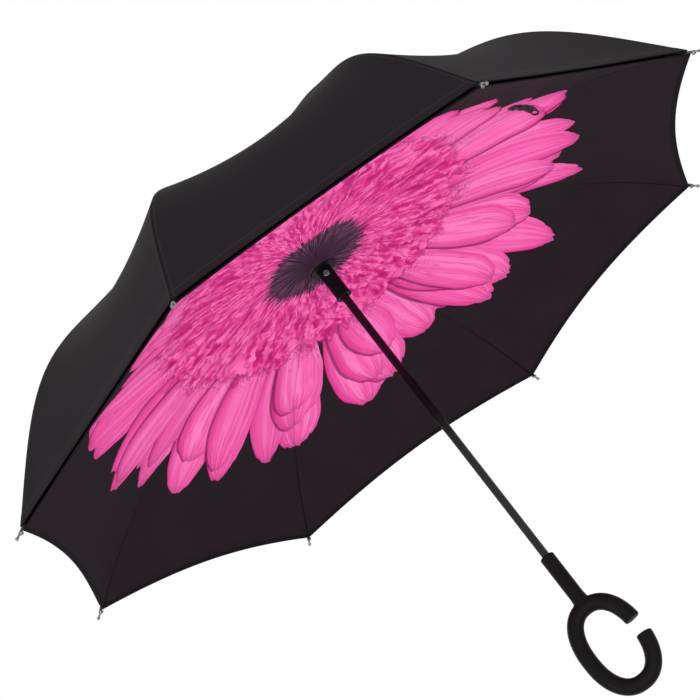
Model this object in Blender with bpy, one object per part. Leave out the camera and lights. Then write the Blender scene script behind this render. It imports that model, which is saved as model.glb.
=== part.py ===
"""Double-layer inverted umbrella, open, built as its separate pieces.

Metres, +Z up along the shaft, canopy at the top, C-shaped handle at the bottom.
The origin is the middle of the handle's loop, on the shaft's axis. The loop's mouth faces +X
and the release button faces -Y.

Each of the eight rib sets has four links. The lower arm hinges on the runner and ends in a
fork at the elbow. The lower rib hinges in that fork and carries the outer end. The upper rib
hinges at the outer end and comes back over the top to a stub pin. The upper arm hinges on the
crown and meets that stub pin. When the runner slides down, every set folds upwards.
"""

import math

import bmesh
import bpy
from mathutils import Matrix, Vector

# Rib sets
RIB_COUNT = 8
FIRST_RIB_ANGLE = math.radians(-16.15)

# Canopy: radius to the cloth's corners, height of the rim, and rise of each layer's middle
RIM_RADIUS = 0.520
RIM_HEIGHT = 0.475
INNER_RISE = 0.130
OUTER_RISE = 0.257
INNER_CURVE_POWER = 2.9
OUTER_CURVE_POWER = 2.87
LAYER_SPACING = 0.006
CLOTH_THICKNESS = 0.0008
HEM_SCALLOP_DEPTH = 0.0156
GORE_SAG_DEPTH = 0.0035
GORE_STEPS = 6
RADIAL_STEPS = 7
RING_CROWDING_SHARE = 0.9
SEAT_DISC_RADIUS = 0.022
PRINT_RADIUS = 0.330

# Shaft and handle
SHAFT_RADIUS = 0.0052
SHAFT_WALL = 0.0008
LOOP_HALF_HEIGHT = 0.057
LOOP_HALF_WIDTH = 0.037
LOOP_TUBE_RADIUS = 0.0090
LOOP_ROUNDNESS_POWER = 2.25
LOOP_STEPS = 32
MOUTH_GAP = 0.020
LOOP_END_CHAMFER = 0.0015
NECK_RADIUS = 0.0082
NECK_TOP_HEIGHT = 0.133
NECK_SOCKET_DEPTH = 0.048
NECK_FLARE_HEIGHT = 0.020
NECK_RIM_CHAMFER = 0.0012
FLARE_SHARES = (0.0, 0.35, 0.7, 1.0)
ROUND_STEPS = 24

# Fits
RUNNING_CLEARANCE = 0.0005
SEAT_GAP = 0.0003
OVERRUN = 0.002

# Links of the rib sets: pressed channels and rods
ELBOW_RADIUS = 0.260
ROD_CLEARANCE = 0.0055
UPPER_ELBOW_DROP = 0.0085
ARM_WIDTH = 0.0044
ARM_DEPTH = 0.0042
ARM_WALL = 0.0008
LOWER_ARM_BOW = 0.0065
ROD_WIDTH = 0.0030
ROD_DEPTH = 0.0030
LOWER_RIB_MID_CLEARANCE = 0.0064
UPPER_RIB_MID_DROP = 0.0140
BOW_STEPS = 5
EYE_RADIUS = 0.0025
EYE_WIDTH = 0.0016
EYE_SIDES = 8
EYE_NECK_LENGTH = 0.010
FORK_GAP = 0.0024
FORK_LENGTH = 0.012
RIVET_RADIUS = 0.0009
RIVET_HEAD_RISE = 0.0004
RIVET_SIDES = 6
RIB_OVERHANG = 0.0055
RIM_FALL_SHARE = 0.75
TIP_PIVOT_INSET = 0.0265
TIP_LUG_RISE = 0.0042
UPPER_ARM_WIDTH = 0.0026
UPPER_ARM_DEPTH = 0.0040
UPPER_ARM_SIDE_STEP = 0.0060
UPPER_ARM_STEP_SHARES = (0.05, 0.18)

# Rib tips
TIP_SOCKET_DEPTH = 0.0040
TIP_SOCKET_RADIUS = 0.0028
TIP_STEM_RADIUS = 0.0013
TIP_REACH = 0.0100
TIP_BALL_RADIUS = 0.0023
TIP_SIDES = 8
BALL_TURN_SHARES = (0.20, 0.40, 0.60, 0.80)

# Crown
CROWN_PIVOT_RADIUS = 0.0120
CROWN_PIVOT_DROP = 0.0095
CROWN_RADIUS = 0.0150
CROWN_CORE_RADIUS = 0.0088
CROWN_TOP_THICKNESS = 0.0050
CROWN_DEPTH = 0.0160
CROWN_SLEEVE_LENGTH = 0.0300
CROWN_SLEEVE_RADIUS = 0.0075
CROWN_STUD_RADIUS = 0.0040
CROWN_STUD_HEIGHT = 0.0080
WASHER_RADIUS = 0.0210
WASHER_THICKNESS = 0.0012
CAP_RADIUS = 0.0130
CAP_HEIGHT = 0.0130
CAP_FLAT_RADIUS = 0.0060
CAP_STEPS = 5

# Runner
RUNNER_PIVOT_RADIUS = 0.0140
RUNNER_PIVOT_RISE = 0.0085
RUNNER_WALL = 0.0016
RUNNER_HUB_RADIUS = 0.0172
RUNNER_HUB_CORE_RADIUS = 0.0106
RUNNER_HUB_FLOOR = 0.0030
RUNNER_HUB_HEIGHT = 0.0150
RUNNER_COLLAR_RADIUS = 0.0098
RUNNER_COLLAR_LENGTH = 0.0480
RUNNER_COLLAR_LIP = 0.0010
RUNNER_LIP_HEIGHT = 0.0025
ROSETTE_RADIUS = 0.0190
ROSETTE_THICKNESS = 0.0010
GROOVE_WIDTH = 0.0020
WIRE_RADIUS = 0.0005
WIRE_SIDES = 6

# Release button
BUTTON_RADIUS = 0.0040
BUTTON_EDGE = 0.0005
BUTTON_PROUD = 0.0016
BUTTON_FLANGE_RADIUS = 0.0047
BUTTON_FLANGE_THICKNESS = 0.0010
BUTTON_DROP = 0.0125
BOSS_RADIUS = 0.0064
BOSS_REACH = 0.0122
BOSS_LIP = 0.0012
BOSS_STEPS = 20
SPRING_THICKNESS = 0.0003
SPRING_WIDTH = 0.0030
SPRING_HALF_LENGTH = 0.0036
SPRING_STEPS = 8

# Closing strap, sewn to the inner layer on the first rib's seam
STRAP_LENGTH = 0.085
STRAP_WIDTH = 0.010
STRAP_THICKNESS = 0.0010
STRAP_CLEARANCE = 0.0008
STRAP_FROM_ELBOW = 0.071
STRAP_ANGLE = math.radians(340.5)
STRAP_WAVE = 0.0020
STRAP_WAVES = 3
STRAP_STEPS = 12

# Colours, roughness and metallic value of each finish
FINISHES = {
    "black_steel": ((0.012, 0.011, 0.012), 0.22, 0.9),
    "soft_grip": ((0.010, 0.008, 0.010), 0.62, 0.0),
    "moulded_black": ((0.015, 0.014, 0.015), 0.45, 0.0),
    "bright_wire": ((0.42, 0.41, 0.40), 0.30, 1.0),
    "bright_tip": ((0.45, 0.44, 0.43), 0.28, 1.0),
    "dark_rib": ((0.02, 0.02, 0.02), 0.35, 0.6),
    "grey_button": ((0.22, 0.22, 0.23), 0.40, 0.0),
    "black_cloth": ((0.030, 0.025, 0.028), 0.75, 0.0),
    "pink_print": ((0.85, 0.22, 0.52), 0.70, 0.0),
}

# Heights that follow from the sizes above
HALF_SPACING = LAYER_SPACING / 2
RUNNER_SEAT_HEIGHT = RIM_HEIGHT - HALF_SPACING + INNER_RISE
CROWN_SEAT_HEIGHT = RIM_HEIGHT + HALF_SPACING + OUTER_RISE
CROWN_TOP_HEIGHT = CROWN_SEAT_HEIGHT - CLOTH_THICKNESS / 2 - SEAT_GAP
SHAFT_BORE_RADIUS = SHAFT_RADIUS + SEAT_GAP
RUNNER_BORE_RADIUS = SHAFT_RADIUS + RUNNING_CLEARANCE
RUNNER_SPIGOT_RADIUS = RUNNER_BORE_RADIUS + RUNNER_WALL
GORE_ANGLE = 2 * math.pi / RIB_COUNT
STRAP_PLACE_RADIUS = ELBOW_RADIUS + STRAP_FROM_ELBOW


def clear_scene():
    """Remove whatever the scene holds."""
    for obj in list(bpy.data.objects):
        bpy.data.objects.remove(obj)


def finish(name):
    """The Principled material of one finish, made once."""
    found = bpy.data.materials.get(name)
    if found:
        return found
    colour, roughness, metallic = FINISHES[name]
    material = bpy.data.materials.new(name)
    material.use_nodes = True
    shader = material.node_tree.nodes["Principled BSDF"]
    shader.inputs["Base Color"].default_value = (*colour, 1.0)
    shader.inputs["Roughness"].default_value = roughness
    shader.inputs["Metallic"].default_value = metallic
    material.diffuse_color = (*colour, 1.0)
    return material


def mesh_of(name, shape):
    """A mesh from a bmesh, with doubles merged and faces turned outwards."""
    bmesh.ops.remove_doubles(shape, verts=shape.verts, dist=SEAT_GAP / 100)
    bmesh.ops.recalc_face_normals(shape, faces=shape.faces)
    mesh = bpy.data.meshes.new(name)
    shape.to_mesh(mesh)
    shape.free()
    return mesh


def place(name, mesh, finish_name=None, location=(0, 0, 0), turn=0.0, parent=None):
    """One named piece of the umbrella. A mesh that brings its own materials keeps them."""
    obj = bpy.data.objects.new(name, mesh)
    if not mesh.materials:
        mesh.materials.append(finish(finish_name))
    mesh.shade_smooth()
    mesh.set_sharp_from_angle(angle=math.radians(35))
    obj.location = location
    obj.rotation_euler = (0, 0, turn)
    obj.parent = parent
    bpy.context.scene.collection.objects.link(obj)
    return obj


def frame_at(name, location):
    """An empty that marks a body's reference point."""
    marker = bpy.data.objects.new(name, None)
    marker.empty_display_size = SHAFT_RADIUS
    marker.location = location
    bpy.context.scene.collection.objects.link(marker)
    return marker


def combined(name, body, joined=(), cut=()):
    """One mesh: the body with some meshes joined to it and others cut away."""
    base = bpy.data.objects.new(name, body)
    bpy.context.scene.collection.objects.link(base)
    helpers = []
    for operation, meshes in (("UNION", joined), ("DIFFERENCE", cut)):
        for mesh in meshes:
            helper = bpy.data.objects.new(name + "_helper", mesh)
            helper.hide_render = True
            helper.display_type = "WIRE"
            bpy.context.scene.collection.objects.link(helper)
            helpers.append(helper)
            modifier = base.modifiers.new(operation, "BOOLEAN")
            modifier.operation = operation
            modifier.solver = "EXACT"
            modifier.object = helper
    bpy.context.view_layer.update()
    graph = bpy.context.evaluated_depsgraph_get()
    result = bpy.data.meshes.new_from_object(base.evaluated_get(graph))
    result.name = name
    result.materials.clear()
    for helper in [base, *helpers]:
        bpy.data.objects.remove(helper)
    return result


def turned(profile, steps=ROUND_STEPS):
    """A closed profile of (radius, height) points turned once round the Z axis."""
    shape = bmesh.new()
    points = [shape.verts.new((radius, 0, height)) for radius, height in profile]
    edges = [
        shape.edges.new((points[i], points[(i + 1) % len(points)]))
        for i in range(len(points))
        if profile[i][0] > 0 or profile[(i + 1) % len(points)][0] > 0
    ]
    bmesh.ops.spin(
        shape,
        geom=points + edges,
        cent=(0, 0, 0),
        axis=(0, 0, 1),
        angle=2 * math.pi,
        steps=steps,
        use_merge=True,
    )
    return mesh_of("turned", shape)


def prism(outline, near, far):
    """An outline of (x, z) points carried along Y from near to far."""
    shape = bmesh.new()
    face = shape.faces.new([shape.verts.new((x, near, z)) for x, z in outline])
    grown = bmesh.ops.extrude_face_region(shape, geom=[face])
    moved = [v for v in grown["geom"] if isinstance(v, bmesh.types.BMVert)]
    bmesh.ops.translate(shape, verts=moved, vec=(0, far - near, 0))
    return mesh_of("prism", shape)


def block(low, high):
    """A box between two corners."""
    outline = [(low[0], low[2]), (high[0], low[2]), (high[0], high[2]), (low[0], high[2])]
    return prism(outline, low[1], high[1])


def disc(centre, radius, half_width, sides=EYE_SIDES, shift=0.0):
    """A round plate across Y, centred on an (x, z) point."""
    outline = [
        (
            centre[0] + radius * math.cos(2 * math.pi * i / sides),
            centre[1] + radius * math.sin(2 * math.pi * i / sides),
        )
        for i in range(sides)
    ]
    return prism(outline, shift - half_width, shift + half_width)


def copied(mesh, matrix):
    """A transformed copy of a mesh."""
    copy = mesh.copy()
    copy.transform(matrix)
    return copy


def layer_height(radius, rise, power, offset):
    """Height of a cloth layer at a rib, at a distance from the shaft."""
    return RIM_HEIGHT + offset + rise * (1 - (radius / RIM_RADIUS) ** power)


def inner_height(radius):
    """Height of the inner layer at a rib."""
    return layer_height(radius, INNER_RISE, INNER_CURVE_POWER, -HALF_SPACING)


def outer_height(radius):
    """Height of the outer layer at a rib."""
    return layer_height(radius, OUTER_RISE, OUTER_CURVE_POWER, HALF_SPACING)


# Hinge places in a rib set's own plane, as (distance from the shaft, height)
RUNNER_PIVOT = (RUNNER_PIVOT_RADIUS, RUNNER_SEAT_HEIGHT + RUNNER_PIVOT_RISE)
LOWER_ELBOW = (ELBOW_RADIUS, inner_height(ELBOW_RADIUS) + ROD_CLEARANCE)
RIB_END = (RIM_RADIUS + RIB_OVERHANG, RIM_HEIGHT - RIB_OVERHANG * RIM_FALL_SHARE)
CROWN_PIVOT = (CROWN_PIVOT_RADIUS, CROWN_TOP_HEIGHT - CROWN_PIVOT_DROP)
UPPER_ELBOW = (ELBOW_RADIUS, outer_height(ELBOW_RADIUS) - UPPER_ELBOW_DROP)


def on_bow(start, end, bow, share, lift=0.0):
    """A point on a link that is bowed upwards between two points, lifted square to it."""
    along = Vector(end) - Vector(start)
    square = Vector((-along.y, along.x)).normalized()
    if square.y < 0:
        square = -square
    point = Vector(start) + along * share + square * (4 * bow * share * (1 - share) + lift)
    return point.x, point.y


def bowed_bar(start, end, bow, depth, first_share=0.0, last_share=1.0, lift=0.0):
    """The side outline of a bowed bar between two shares of its length."""
    shares = [
        first_share + (last_share - first_share) * i / BOW_STEPS for i in range(BOW_STEPS + 1)
    ]
    top = [on_bow(start, end, bow, share, lift + depth / 2) for share in shares]
    bottom = [on_bow(start, end, bow, share, lift - depth / 2) for share in shares]
    return bottom + top[::-1]


def bow_to_meet(start, end, mid_height):
    """The bow that lifts a link's middle to a height."""
    run = end[0] - start[0]
    rise = end[1] - start[1]
    chord_height = (start[1] + end[1]) / 2
    return (mid_height - chord_height) * abs(run) / math.hypot(run, rise)


LOWER_RIB_MID = (LOWER_ELBOW[0] + RIB_END[0]) / 2
LOWER_RIB_BOW = bow_to_meet(
    LOWER_ELBOW, RIB_END, inner_height(LOWER_RIB_MID) + LOWER_RIB_MID_CLEARANCE
)
TIP_PIVOT_SHARE = 1 - TIP_PIVOT_INSET / (RIB_END[0] - ELBOW_RADIUS)
TIP_PIVOT = on_bow(LOWER_ELBOW, RIB_END, LOWER_RIB_BOW, TIP_PIVOT_SHARE, TIP_LUG_RISE)
UPPER_RIB_MID = (TIP_PIVOT[0] + UPPER_ELBOW[0]) / 2
UPPER_RIB_BOW = bow_to_meet(
    TIP_PIVOT, UPPER_ELBOW, outer_height(UPPER_RIB_MID) - UPPER_RIB_MID_DROP
)


def rivet(centre, half_width):
    """A rivet across Y that stands a little proud of both cheeks."""
    return disc(centre, RIVET_RADIUS, half_width + RIVET_HEAD_RISE, RIVET_SIDES)


def eye_hole(centre, pin_radius):
    """The cutter of an eye that turns freely on a pin."""
    return disc(centre, pin_radius + SEAT_GAP, ARM_WIDTH * 2)


def side_cuts(centre, reach, half_width, depth):
    """Cutters that thin a link to an eye, on both sides, over a reach from its hinge."""
    low_x = centre[0] - reach
    high_x = centre[0] + reach
    low_z = centre[1] - depth
    high_z = centre[1] + depth
    far = ARM_WIDTH + OVERRUN
    return [
        block((low_x, half_width, low_z), (high_x, far, high_z)),
        block((low_x, -far, low_z), (high_x, -half_width, high_z)),
    ]


def lower_arm_mesh():
    """Channel from the runner to the elbow: thin eye at the runner, riveted fork at the elbow."""
    half = ARM_WIDTH / 2
    length = LOWER_ELBOW[0] - RUNNER_PIVOT[0]
    ends = (RUNNER_PIVOT, LOWER_ELBOW, LOWER_ARM_BOW)
    bar = prism(bowed_bar(*ends, ARM_DEPTH), -half, half)
    channel_first = (EYE_NECK_LENGTH + ARM_DEPTH) / length
    channel_last = 1 - (FORK_LENGTH + ARM_DEPTH) / length
    channel_lift = ARM_WALL
    channel = prism(
        bowed_bar(*ends, ARM_DEPTH, channel_first, channel_last, channel_lift),
        ARM_WALL - half,
        half - ARM_WALL,
    )
    fork_low = (LOWER_ELBOW[0] - FORK_LENGTH, -FORK_GAP / 2, LOWER_ELBOW[1] - FORK_LENGTH)
    fork_high = (LOWER_ELBOW[0] + FORK_LENGTH, FORK_GAP / 2, LOWER_ELBOW[1] + FORK_LENGTH)
    solid = combined(
        "lower_arm_blank",
        bar,
        joined=[disc(RUNNER_PIVOT, EYE_RADIUS, half), disc(LOWER_ELBOW, EYE_RADIUS, half)],
        cut=[
            channel,
            block(fork_low, fork_high),
            *side_cuts(RUNNER_PIVOT, EYE_NECK_LENGTH, EYE_WIDTH / 2, EYE_NECK_LENGTH),
            eye_hole(RUNNER_PIVOT, WIRE_RADIUS),
        ],
    )
    return combined("lower_arm", solid, joined=[rivet(LOWER_ELBOW, half)])


def lower_rib_mesh():
    """Rod from the elbow to the rib's end, with a tongue at the elbow and a fork near the end."""
    half = ROD_WIDTH / 2
    ends = (LOWER_ELBOW, RIB_END, LOWER_RIB_BOW)
    length = RIB_END[0] - LOWER_ELBOW[0]
    rod = prism(bowed_bar(*ends, ROD_DEPTH), -half, half)
    cheek = ARM_WIDTH / 2
    lug_first = TIP_PIVOT_SHARE - EYE_RADIUS / length
    lug_last = TIP_PIVOT_SHARE + EYE_RADIUS / length
    lug = prism(
        bowed_bar(*ends, TIP_LUG_RISE, lug_first, lug_last, TIP_LUG_RISE / 2), -cheek, cheek
    )
    reach = EYE_RADIUS + OVERRUN
    slot = block(
        (TIP_PIVOT[0] - 2 * reach, -FORK_GAP / 2, TIP_PIVOT[1] - EYE_RADIUS - SEAT_GAP),
        (TIP_PIVOT[0] + 2 * reach, FORK_GAP / 2, TIP_PIVOT[1] + reach),
    )
    blank = combined(
        "lower_rib_blank",
        rod,
        joined=[
            disc(LOWER_ELBOW, EYE_RADIUS, half),
            lug,
            disc(TIP_PIVOT, EYE_RADIUS, cheek),
        ],
        cut=[
            slot,
            *side_cuts(LOWER_ELBOW, FORK_LENGTH + EYE_RADIUS, EYE_WIDTH / 2, FORK_LENGTH),
            eye_hole(LOWER_ELBOW, RIVET_RADIUS),
        ],
    )
    return combined("lower_rib", blank, joined=[rivet(TIP_PIVOT, cheek)])


def upper_rib_mesh():
    """Rod from the rib's end back over the top, with a stub pin that meets the upper arm."""
    half = ROD_WIDTH / 2
    rod = prism(bowed_bar(TIP_PIVOT, UPPER_ELBOW, UPPER_RIB_BOW, ROD_DEPTH), -half, half)
    pin_end = UPPER_ARM_SIDE_STEP - UPPER_ARM_WIDTH / 2 - SEAT_GAP
    pin = disc(UPPER_ELBOW, RIVET_RADIUS, pin_end / 2, RIVET_SIDES, pin_end / 2)
    return combined(
        "upper_rib",
        rod,
        joined=[
            disc(TIP_PIVOT, EYE_RADIUS, half),
            disc(UPPER_ELBOW, EYE_RADIUS, half),
            pin,
        ],
        cut=[
            *side_cuts(TIP_PIVOT, FORK_LENGTH, EYE_WIDTH / 2, FORK_LENGTH),
            eye_hole(TIP_PIVOT, RIVET_RADIUS),
        ],
    )


def straight_bar(start, end, depth):
    """The side outline of a straight bar."""
    corners = ((0, -depth / 2), (1, -depth / 2), (1, depth / 2), (0, depth / 2))
    return [on_bow(start, end, 0, share, lift) for share, lift in corners]


def upper_arm_mesh():
    """Flat arm from the crown to the upper elbow, stepped sideways to pass the upper rib."""
    half = UPPER_ARM_WIDTH / 2
    mesh = combined(
        "upper_arm_blank",
        prism(straight_bar(CROWN_PIVOT, UPPER_ELBOW, UPPER_ARM_DEPTH), -half, half),
        joined=[disc(CROWN_PIVOT, EYE_RADIUS, half), disc(UPPER_ELBOW, EYE_RADIUS, half)],
        cut=[
            *side_cuts(CROWN_PIVOT, EYE_NECK_LENGTH, EYE_WIDTH / 2, EYE_NECK_LENGTH),
            eye_hole(CROWN_PIVOT, WIRE_RADIUS),
            eye_hole(UPPER_ELBOW, RIVET_RADIUS),
        ],
    )
    reach = UPPER_ELBOW[0] - CROWN_PIVOT[0]
    first, last = (CROWN_PIVOT[0] + reach * share for share in UPPER_ARM_STEP_SHARES)
    shape = bmesh.new()
    shape.from_mesh(mesh)
    for bend in (first, last):
        everything = shape.verts[:] + shape.edges[:] + shape.faces[:]
        bmesh.ops.bisect_plane(
            shape, geom=everything, plane_co=(bend, 0, 0), plane_no=(1, 0, 0)
        )
    for vertex in shape.verts:
        across = min(1.0, max(0.0, (vertex.co.x - first) / (last - first)))
        vertex.co.y += UPPER_ARM_SIDE_STEP * across
    return mesh_of("upper_arm", shape)


def tip_mesh():
    """Bright tip: a socket over the rod's end, a thin stem and a small ball, along +X."""
    ball_centre = TIP_REACH - TIP_BALL_RADIUS
    bore = math.hypot(ROD_WIDTH, ROD_DEPTH) / 2 + SEAT_GAP
    profile = [
        (0, SEAT_GAP),
        (bore, SEAT_GAP),
        (bore, -TIP_SOCKET_DEPTH),
        (TIP_SOCKET_RADIUS, -TIP_SOCKET_DEPTH),
        (TIP_SOCKET_RADIUS, SEAT_GAP),
        (TIP_STEM_RADIUS, TIP_STEM_RADIUS + SEAT_GAP),
    ]
    for share in reversed(BALL_TURN_SHARES):
        turn = math.pi * share
        across = TIP_BALL_RADIUS * math.sin(turn)
        profile.append((across, ball_centre + TIP_BALL_RADIUS * math.cos(turn)))
    profile.append((0, TIP_REACH))
    mesh = turned(profile, TIP_SIDES)
    mesh.transform(Matrix.Rotation(math.pi / 2, 4, "Y"))
    return mesh


def radial_blocks(inner, outer, low, high, half_width):
    """Eight radial cutters, one at each rib set."""
    single = block((inner, -half_width, low), (outer, half_width, high))
    return [
        copied(single, Matrix.Rotation(FIRST_RIB_ANGLE + i * GORE_ANGLE, 4, "Z"))
        for i in range(RIB_COUNT)
    ]


def wire_groove(pivot_radius, pivot_height, outer_radius):
    """The cutter of the groove that holds the wire ring through the eyes."""
    inner = pivot_radius - WIRE_RADIUS - SEAT_GAP
    half = GROOVE_WIDTH / 2
    return turned(
        [
            (inner, pivot_height - half),
            (inner, pivot_height + half),
            (outer_radius + OVERRUN, pivot_height + half),
            (outer_radius + OVERRUN, pivot_height - half),
        ]
    )


def wire_mesh(pivot_radius, pivot_height):
    """An eight-sided wire ring whose straight sides are the arms' hinge axes."""
    corner_radius = pivot_radius / math.cos(GORE_ANGLE / 2)
    shape = bmesh.new()
    section = [
        shape.verts.new(
            (
                corner_radius + WIRE_RADIUS * math.cos(2 * math.pi * i / WIRE_SIDES),
                0,
                pivot_height + WIRE_RADIUS * math.sin(2 * math.pi * i / WIRE_SIDES),
            )
        )
        for i in range(WIRE_SIDES)
    ]
    edges = [
        shape.edges.new((section[i], section[(i + 1) % WIRE_SIDES])) for i in range(WIRE_SIDES)
    ]
    bmesh.ops.rotate(
        shape,
        verts=section,
        cent=(0, 0, 0),
        matrix=Matrix.Rotation(FIRST_RIB_ANGLE + GORE_ANGLE / 2, 3, "Z"),
    )
    bmesh.ops.spin(
        shape,
        geom=section + edges,
        cent=(0, 0, 0),
        axis=(0, 0, 1),
        angle=2 * math.pi,
        steps=RIB_COUNT,
        use_merge=True,
    )
    return mesh_of("wire", shape)


def crown_mesh():
    """Notched hub on the shaft's top, with a sleeve below and a stud above for the cap."""
    top = CROWN_TOP_HEIGHT
    bottom = top - CROWN_DEPTH
    sleeve_end = top - CROWN_SLEEVE_LENGTH
    profile = [
        (0, top + CROWN_STUD_HEIGHT),
        (0, top - CROWN_TOP_THICKNESS),
        (SHAFT_BORE_RADIUS, top - CROWN_TOP_THICKNESS),
        (SHAFT_BORE_RADIUS, sleeve_end),
        (CROWN_SLEEVE_RADIUS, sleeve_end),
        (CROWN_SLEEVE_RADIUS, bottom),
        (CROWN_RADIUS, bottom),
        (CROWN_RADIUS, top),
        (CROWN_STUD_RADIUS, top),
        (CROWN_STUD_RADIUS, top + CROWN_STUD_HEIGHT),
    ]
    slots = radial_blocks(
        CROWN_CORE_RADIUS,
        CROWN_RADIUS + OVERRUN,
        bottom - OVERRUN,
        CROWN_PIVOT[1] + EYE_RADIUS + SEAT_GAP,
        EYE_WIDTH / 2 + SEAT_GAP,
    )
    groove = wire_groove(*CROWN_PIVOT, CROWN_RADIUS)
    return combined("crown", turned(profile), cut=[*slots, groove])


def washer_mesh(radius, bore, low, thickness):
    """A flat ring."""
    return turned(
        [(bore, low), (radius, low), (radius, low + thickness), (bore, low + thickness)]
    )


def cap_mesh():
    """Domed cap on the stud, flat at its very top."""
    low = CROWN_SEAT_HEIGHT + CLOTH_THICKNESS / 2 + WASHER_THICKNESS + 2 * SEAT_GAP
    bore = CROWN_STUD_RADIUS + SEAT_GAP
    bore_top = CROWN_TOP_HEIGHT + CROWN_STUD_HEIGHT + SEAT_GAP
    dome_rise = CAP_HEIGHT - CAP_FLAT_RADIUS
    dome = [
        (
            CAP_FLAT_RADIUS + (CAP_RADIUS - CAP_FLAT_RADIUS) * math.sin(turn),
            low + CAP_HEIGHT - dome_rise * (1 - math.cos(turn)),
        )
        for turn in (math.pi / 2 * step / CAP_STEPS for step in range(CAP_STEPS + 1))
    ]
    profile = [(0, low + CAP_HEIGHT), *dome, (CAP_RADIUS, low), (bore, low)]
    profile += [(bore, bore_top), (0, bore_top)]
    return turned(profile)


def shaft_mesh():
    """Tube from the handle's socket to the crown."""
    low = NECK_TOP_HEIGHT - NECK_SOCKET_DEPTH + SEAT_GAP
    high = CROWN_TOP_HEIGHT - CROWN_TOP_THICKNESS - SEAT_GAP
    inside = SHAFT_RADIUS - SHAFT_WALL
    return turned([(inside, low), (SHAFT_RADIUS, low), (SHAFT_RADIUS, high), (inside, high)])


def loop_point(turn):
    """A point of the loop's centreline: a rounded oval, wider at its corners than an ellipse."""
    power = 2 / LOOP_ROUNDNESS_POWER
    across = math.copysign(abs(math.cos(turn)) ** power, math.cos(turn))
    along = math.copysign(abs(math.sin(turn)) ** power, math.sin(turn))
    return LOOP_HALF_WIDTH * across, LOOP_HALF_HEIGHT * along


def loop_mesh():
    """The open loop as one bevelled curve with chamfered ends."""
    mouth_turn = math.asin((MOUTH_GAP / 2 / LOOP_HALF_HEIGHT) ** (LOOP_ROUNDNESS_POWER / 2))
    span = 2 * math.pi - 2 * mouth_turn
    turns = [mouth_turn + span * i / LOOP_STEPS for i in range(LOOP_STEPS + 1)]
    points = [Vector((*loop_point(turn), 0)) for turn in turns]
    radii = [1.0] * len(points)
    for first, second, place_at in ((0, 1, 1), (-1, -2, len(points))):
        along = (points[second] - points[first]).normalized()
        points.insert(place_at, points[first] + along * LOOP_END_CHAMFER)
        radii.insert(place_at, 1.0)
        radii[first] = 1 - LOOP_END_CHAMFER / LOOP_TUBE_RADIUS
    curve = bpy.data.curves.new("loop", "CURVE")
    curve.dimensions = "3D"
    curve.bevel_depth = LOOP_TUBE_RADIUS
    curve.bevel_resolution = 3
    curve.use_fill_caps = True
    curve.twist_mode = "MINIMUM"
    spline = curve.splines.new("POLY")
    spline.points.add(len(points) - 1)
    for knot, point, radius in zip(spline.points, points, radii):
        knot.co = (*point, 1)
        knot.radius = radius
    holder = bpy.data.objects.new("loop", curve)
    bpy.context.scene.collection.objects.link(holder)
    bpy.context.view_layer.update()
    graph = bpy.context.evaluated_depsgraph_get()
    mesh = bpy.data.meshes.new_from_object(holder.evaluated_get(graph))
    bpy.data.objects.remove(holder)
    mesh.transform(Matrix.Rotation(math.pi / 2, 4, "X"))
    shape = bmesh.new()
    shape.from_mesh(mesh)
    return mesh_of("loop", shape)


def handle_mesh():
    """C-shaped handle: the open loop, and a neck with a socket for the shaft."""
    flare_low = LOOP_HALF_HEIGHT
    flare = [
        (
            NECK_RADIUS + (LOOP_TUBE_RADIUS - NECK_RADIUS + OVERRUN) * share**2,
            flare_low + NECK_FLARE_HEIGHT * (1 - share),
        )
        for share in FLARE_SHARES
    ]
    socket_floor = NECK_TOP_HEIGHT - NECK_SOCKET_DEPTH
    profile = [
        (0, socket_floor),
        (SHAFT_BORE_RADIUS, socket_floor),
        (SHAFT_BORE_RADIUS, NECK_TOP_HEIGHT),
        (NECK_RADIUS - NECK_RIM_CHAMFER, NECK_TOP_HEIGHT),
        (NECK_RADIUS, NECK_TOP_HEIGHT - NECK_RIM_CHAMFER),
        *flare,
        (0, flare_low),
    ]
    return combined("c_handle", loop_mesh(), joined=[turned(profile)])


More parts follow.
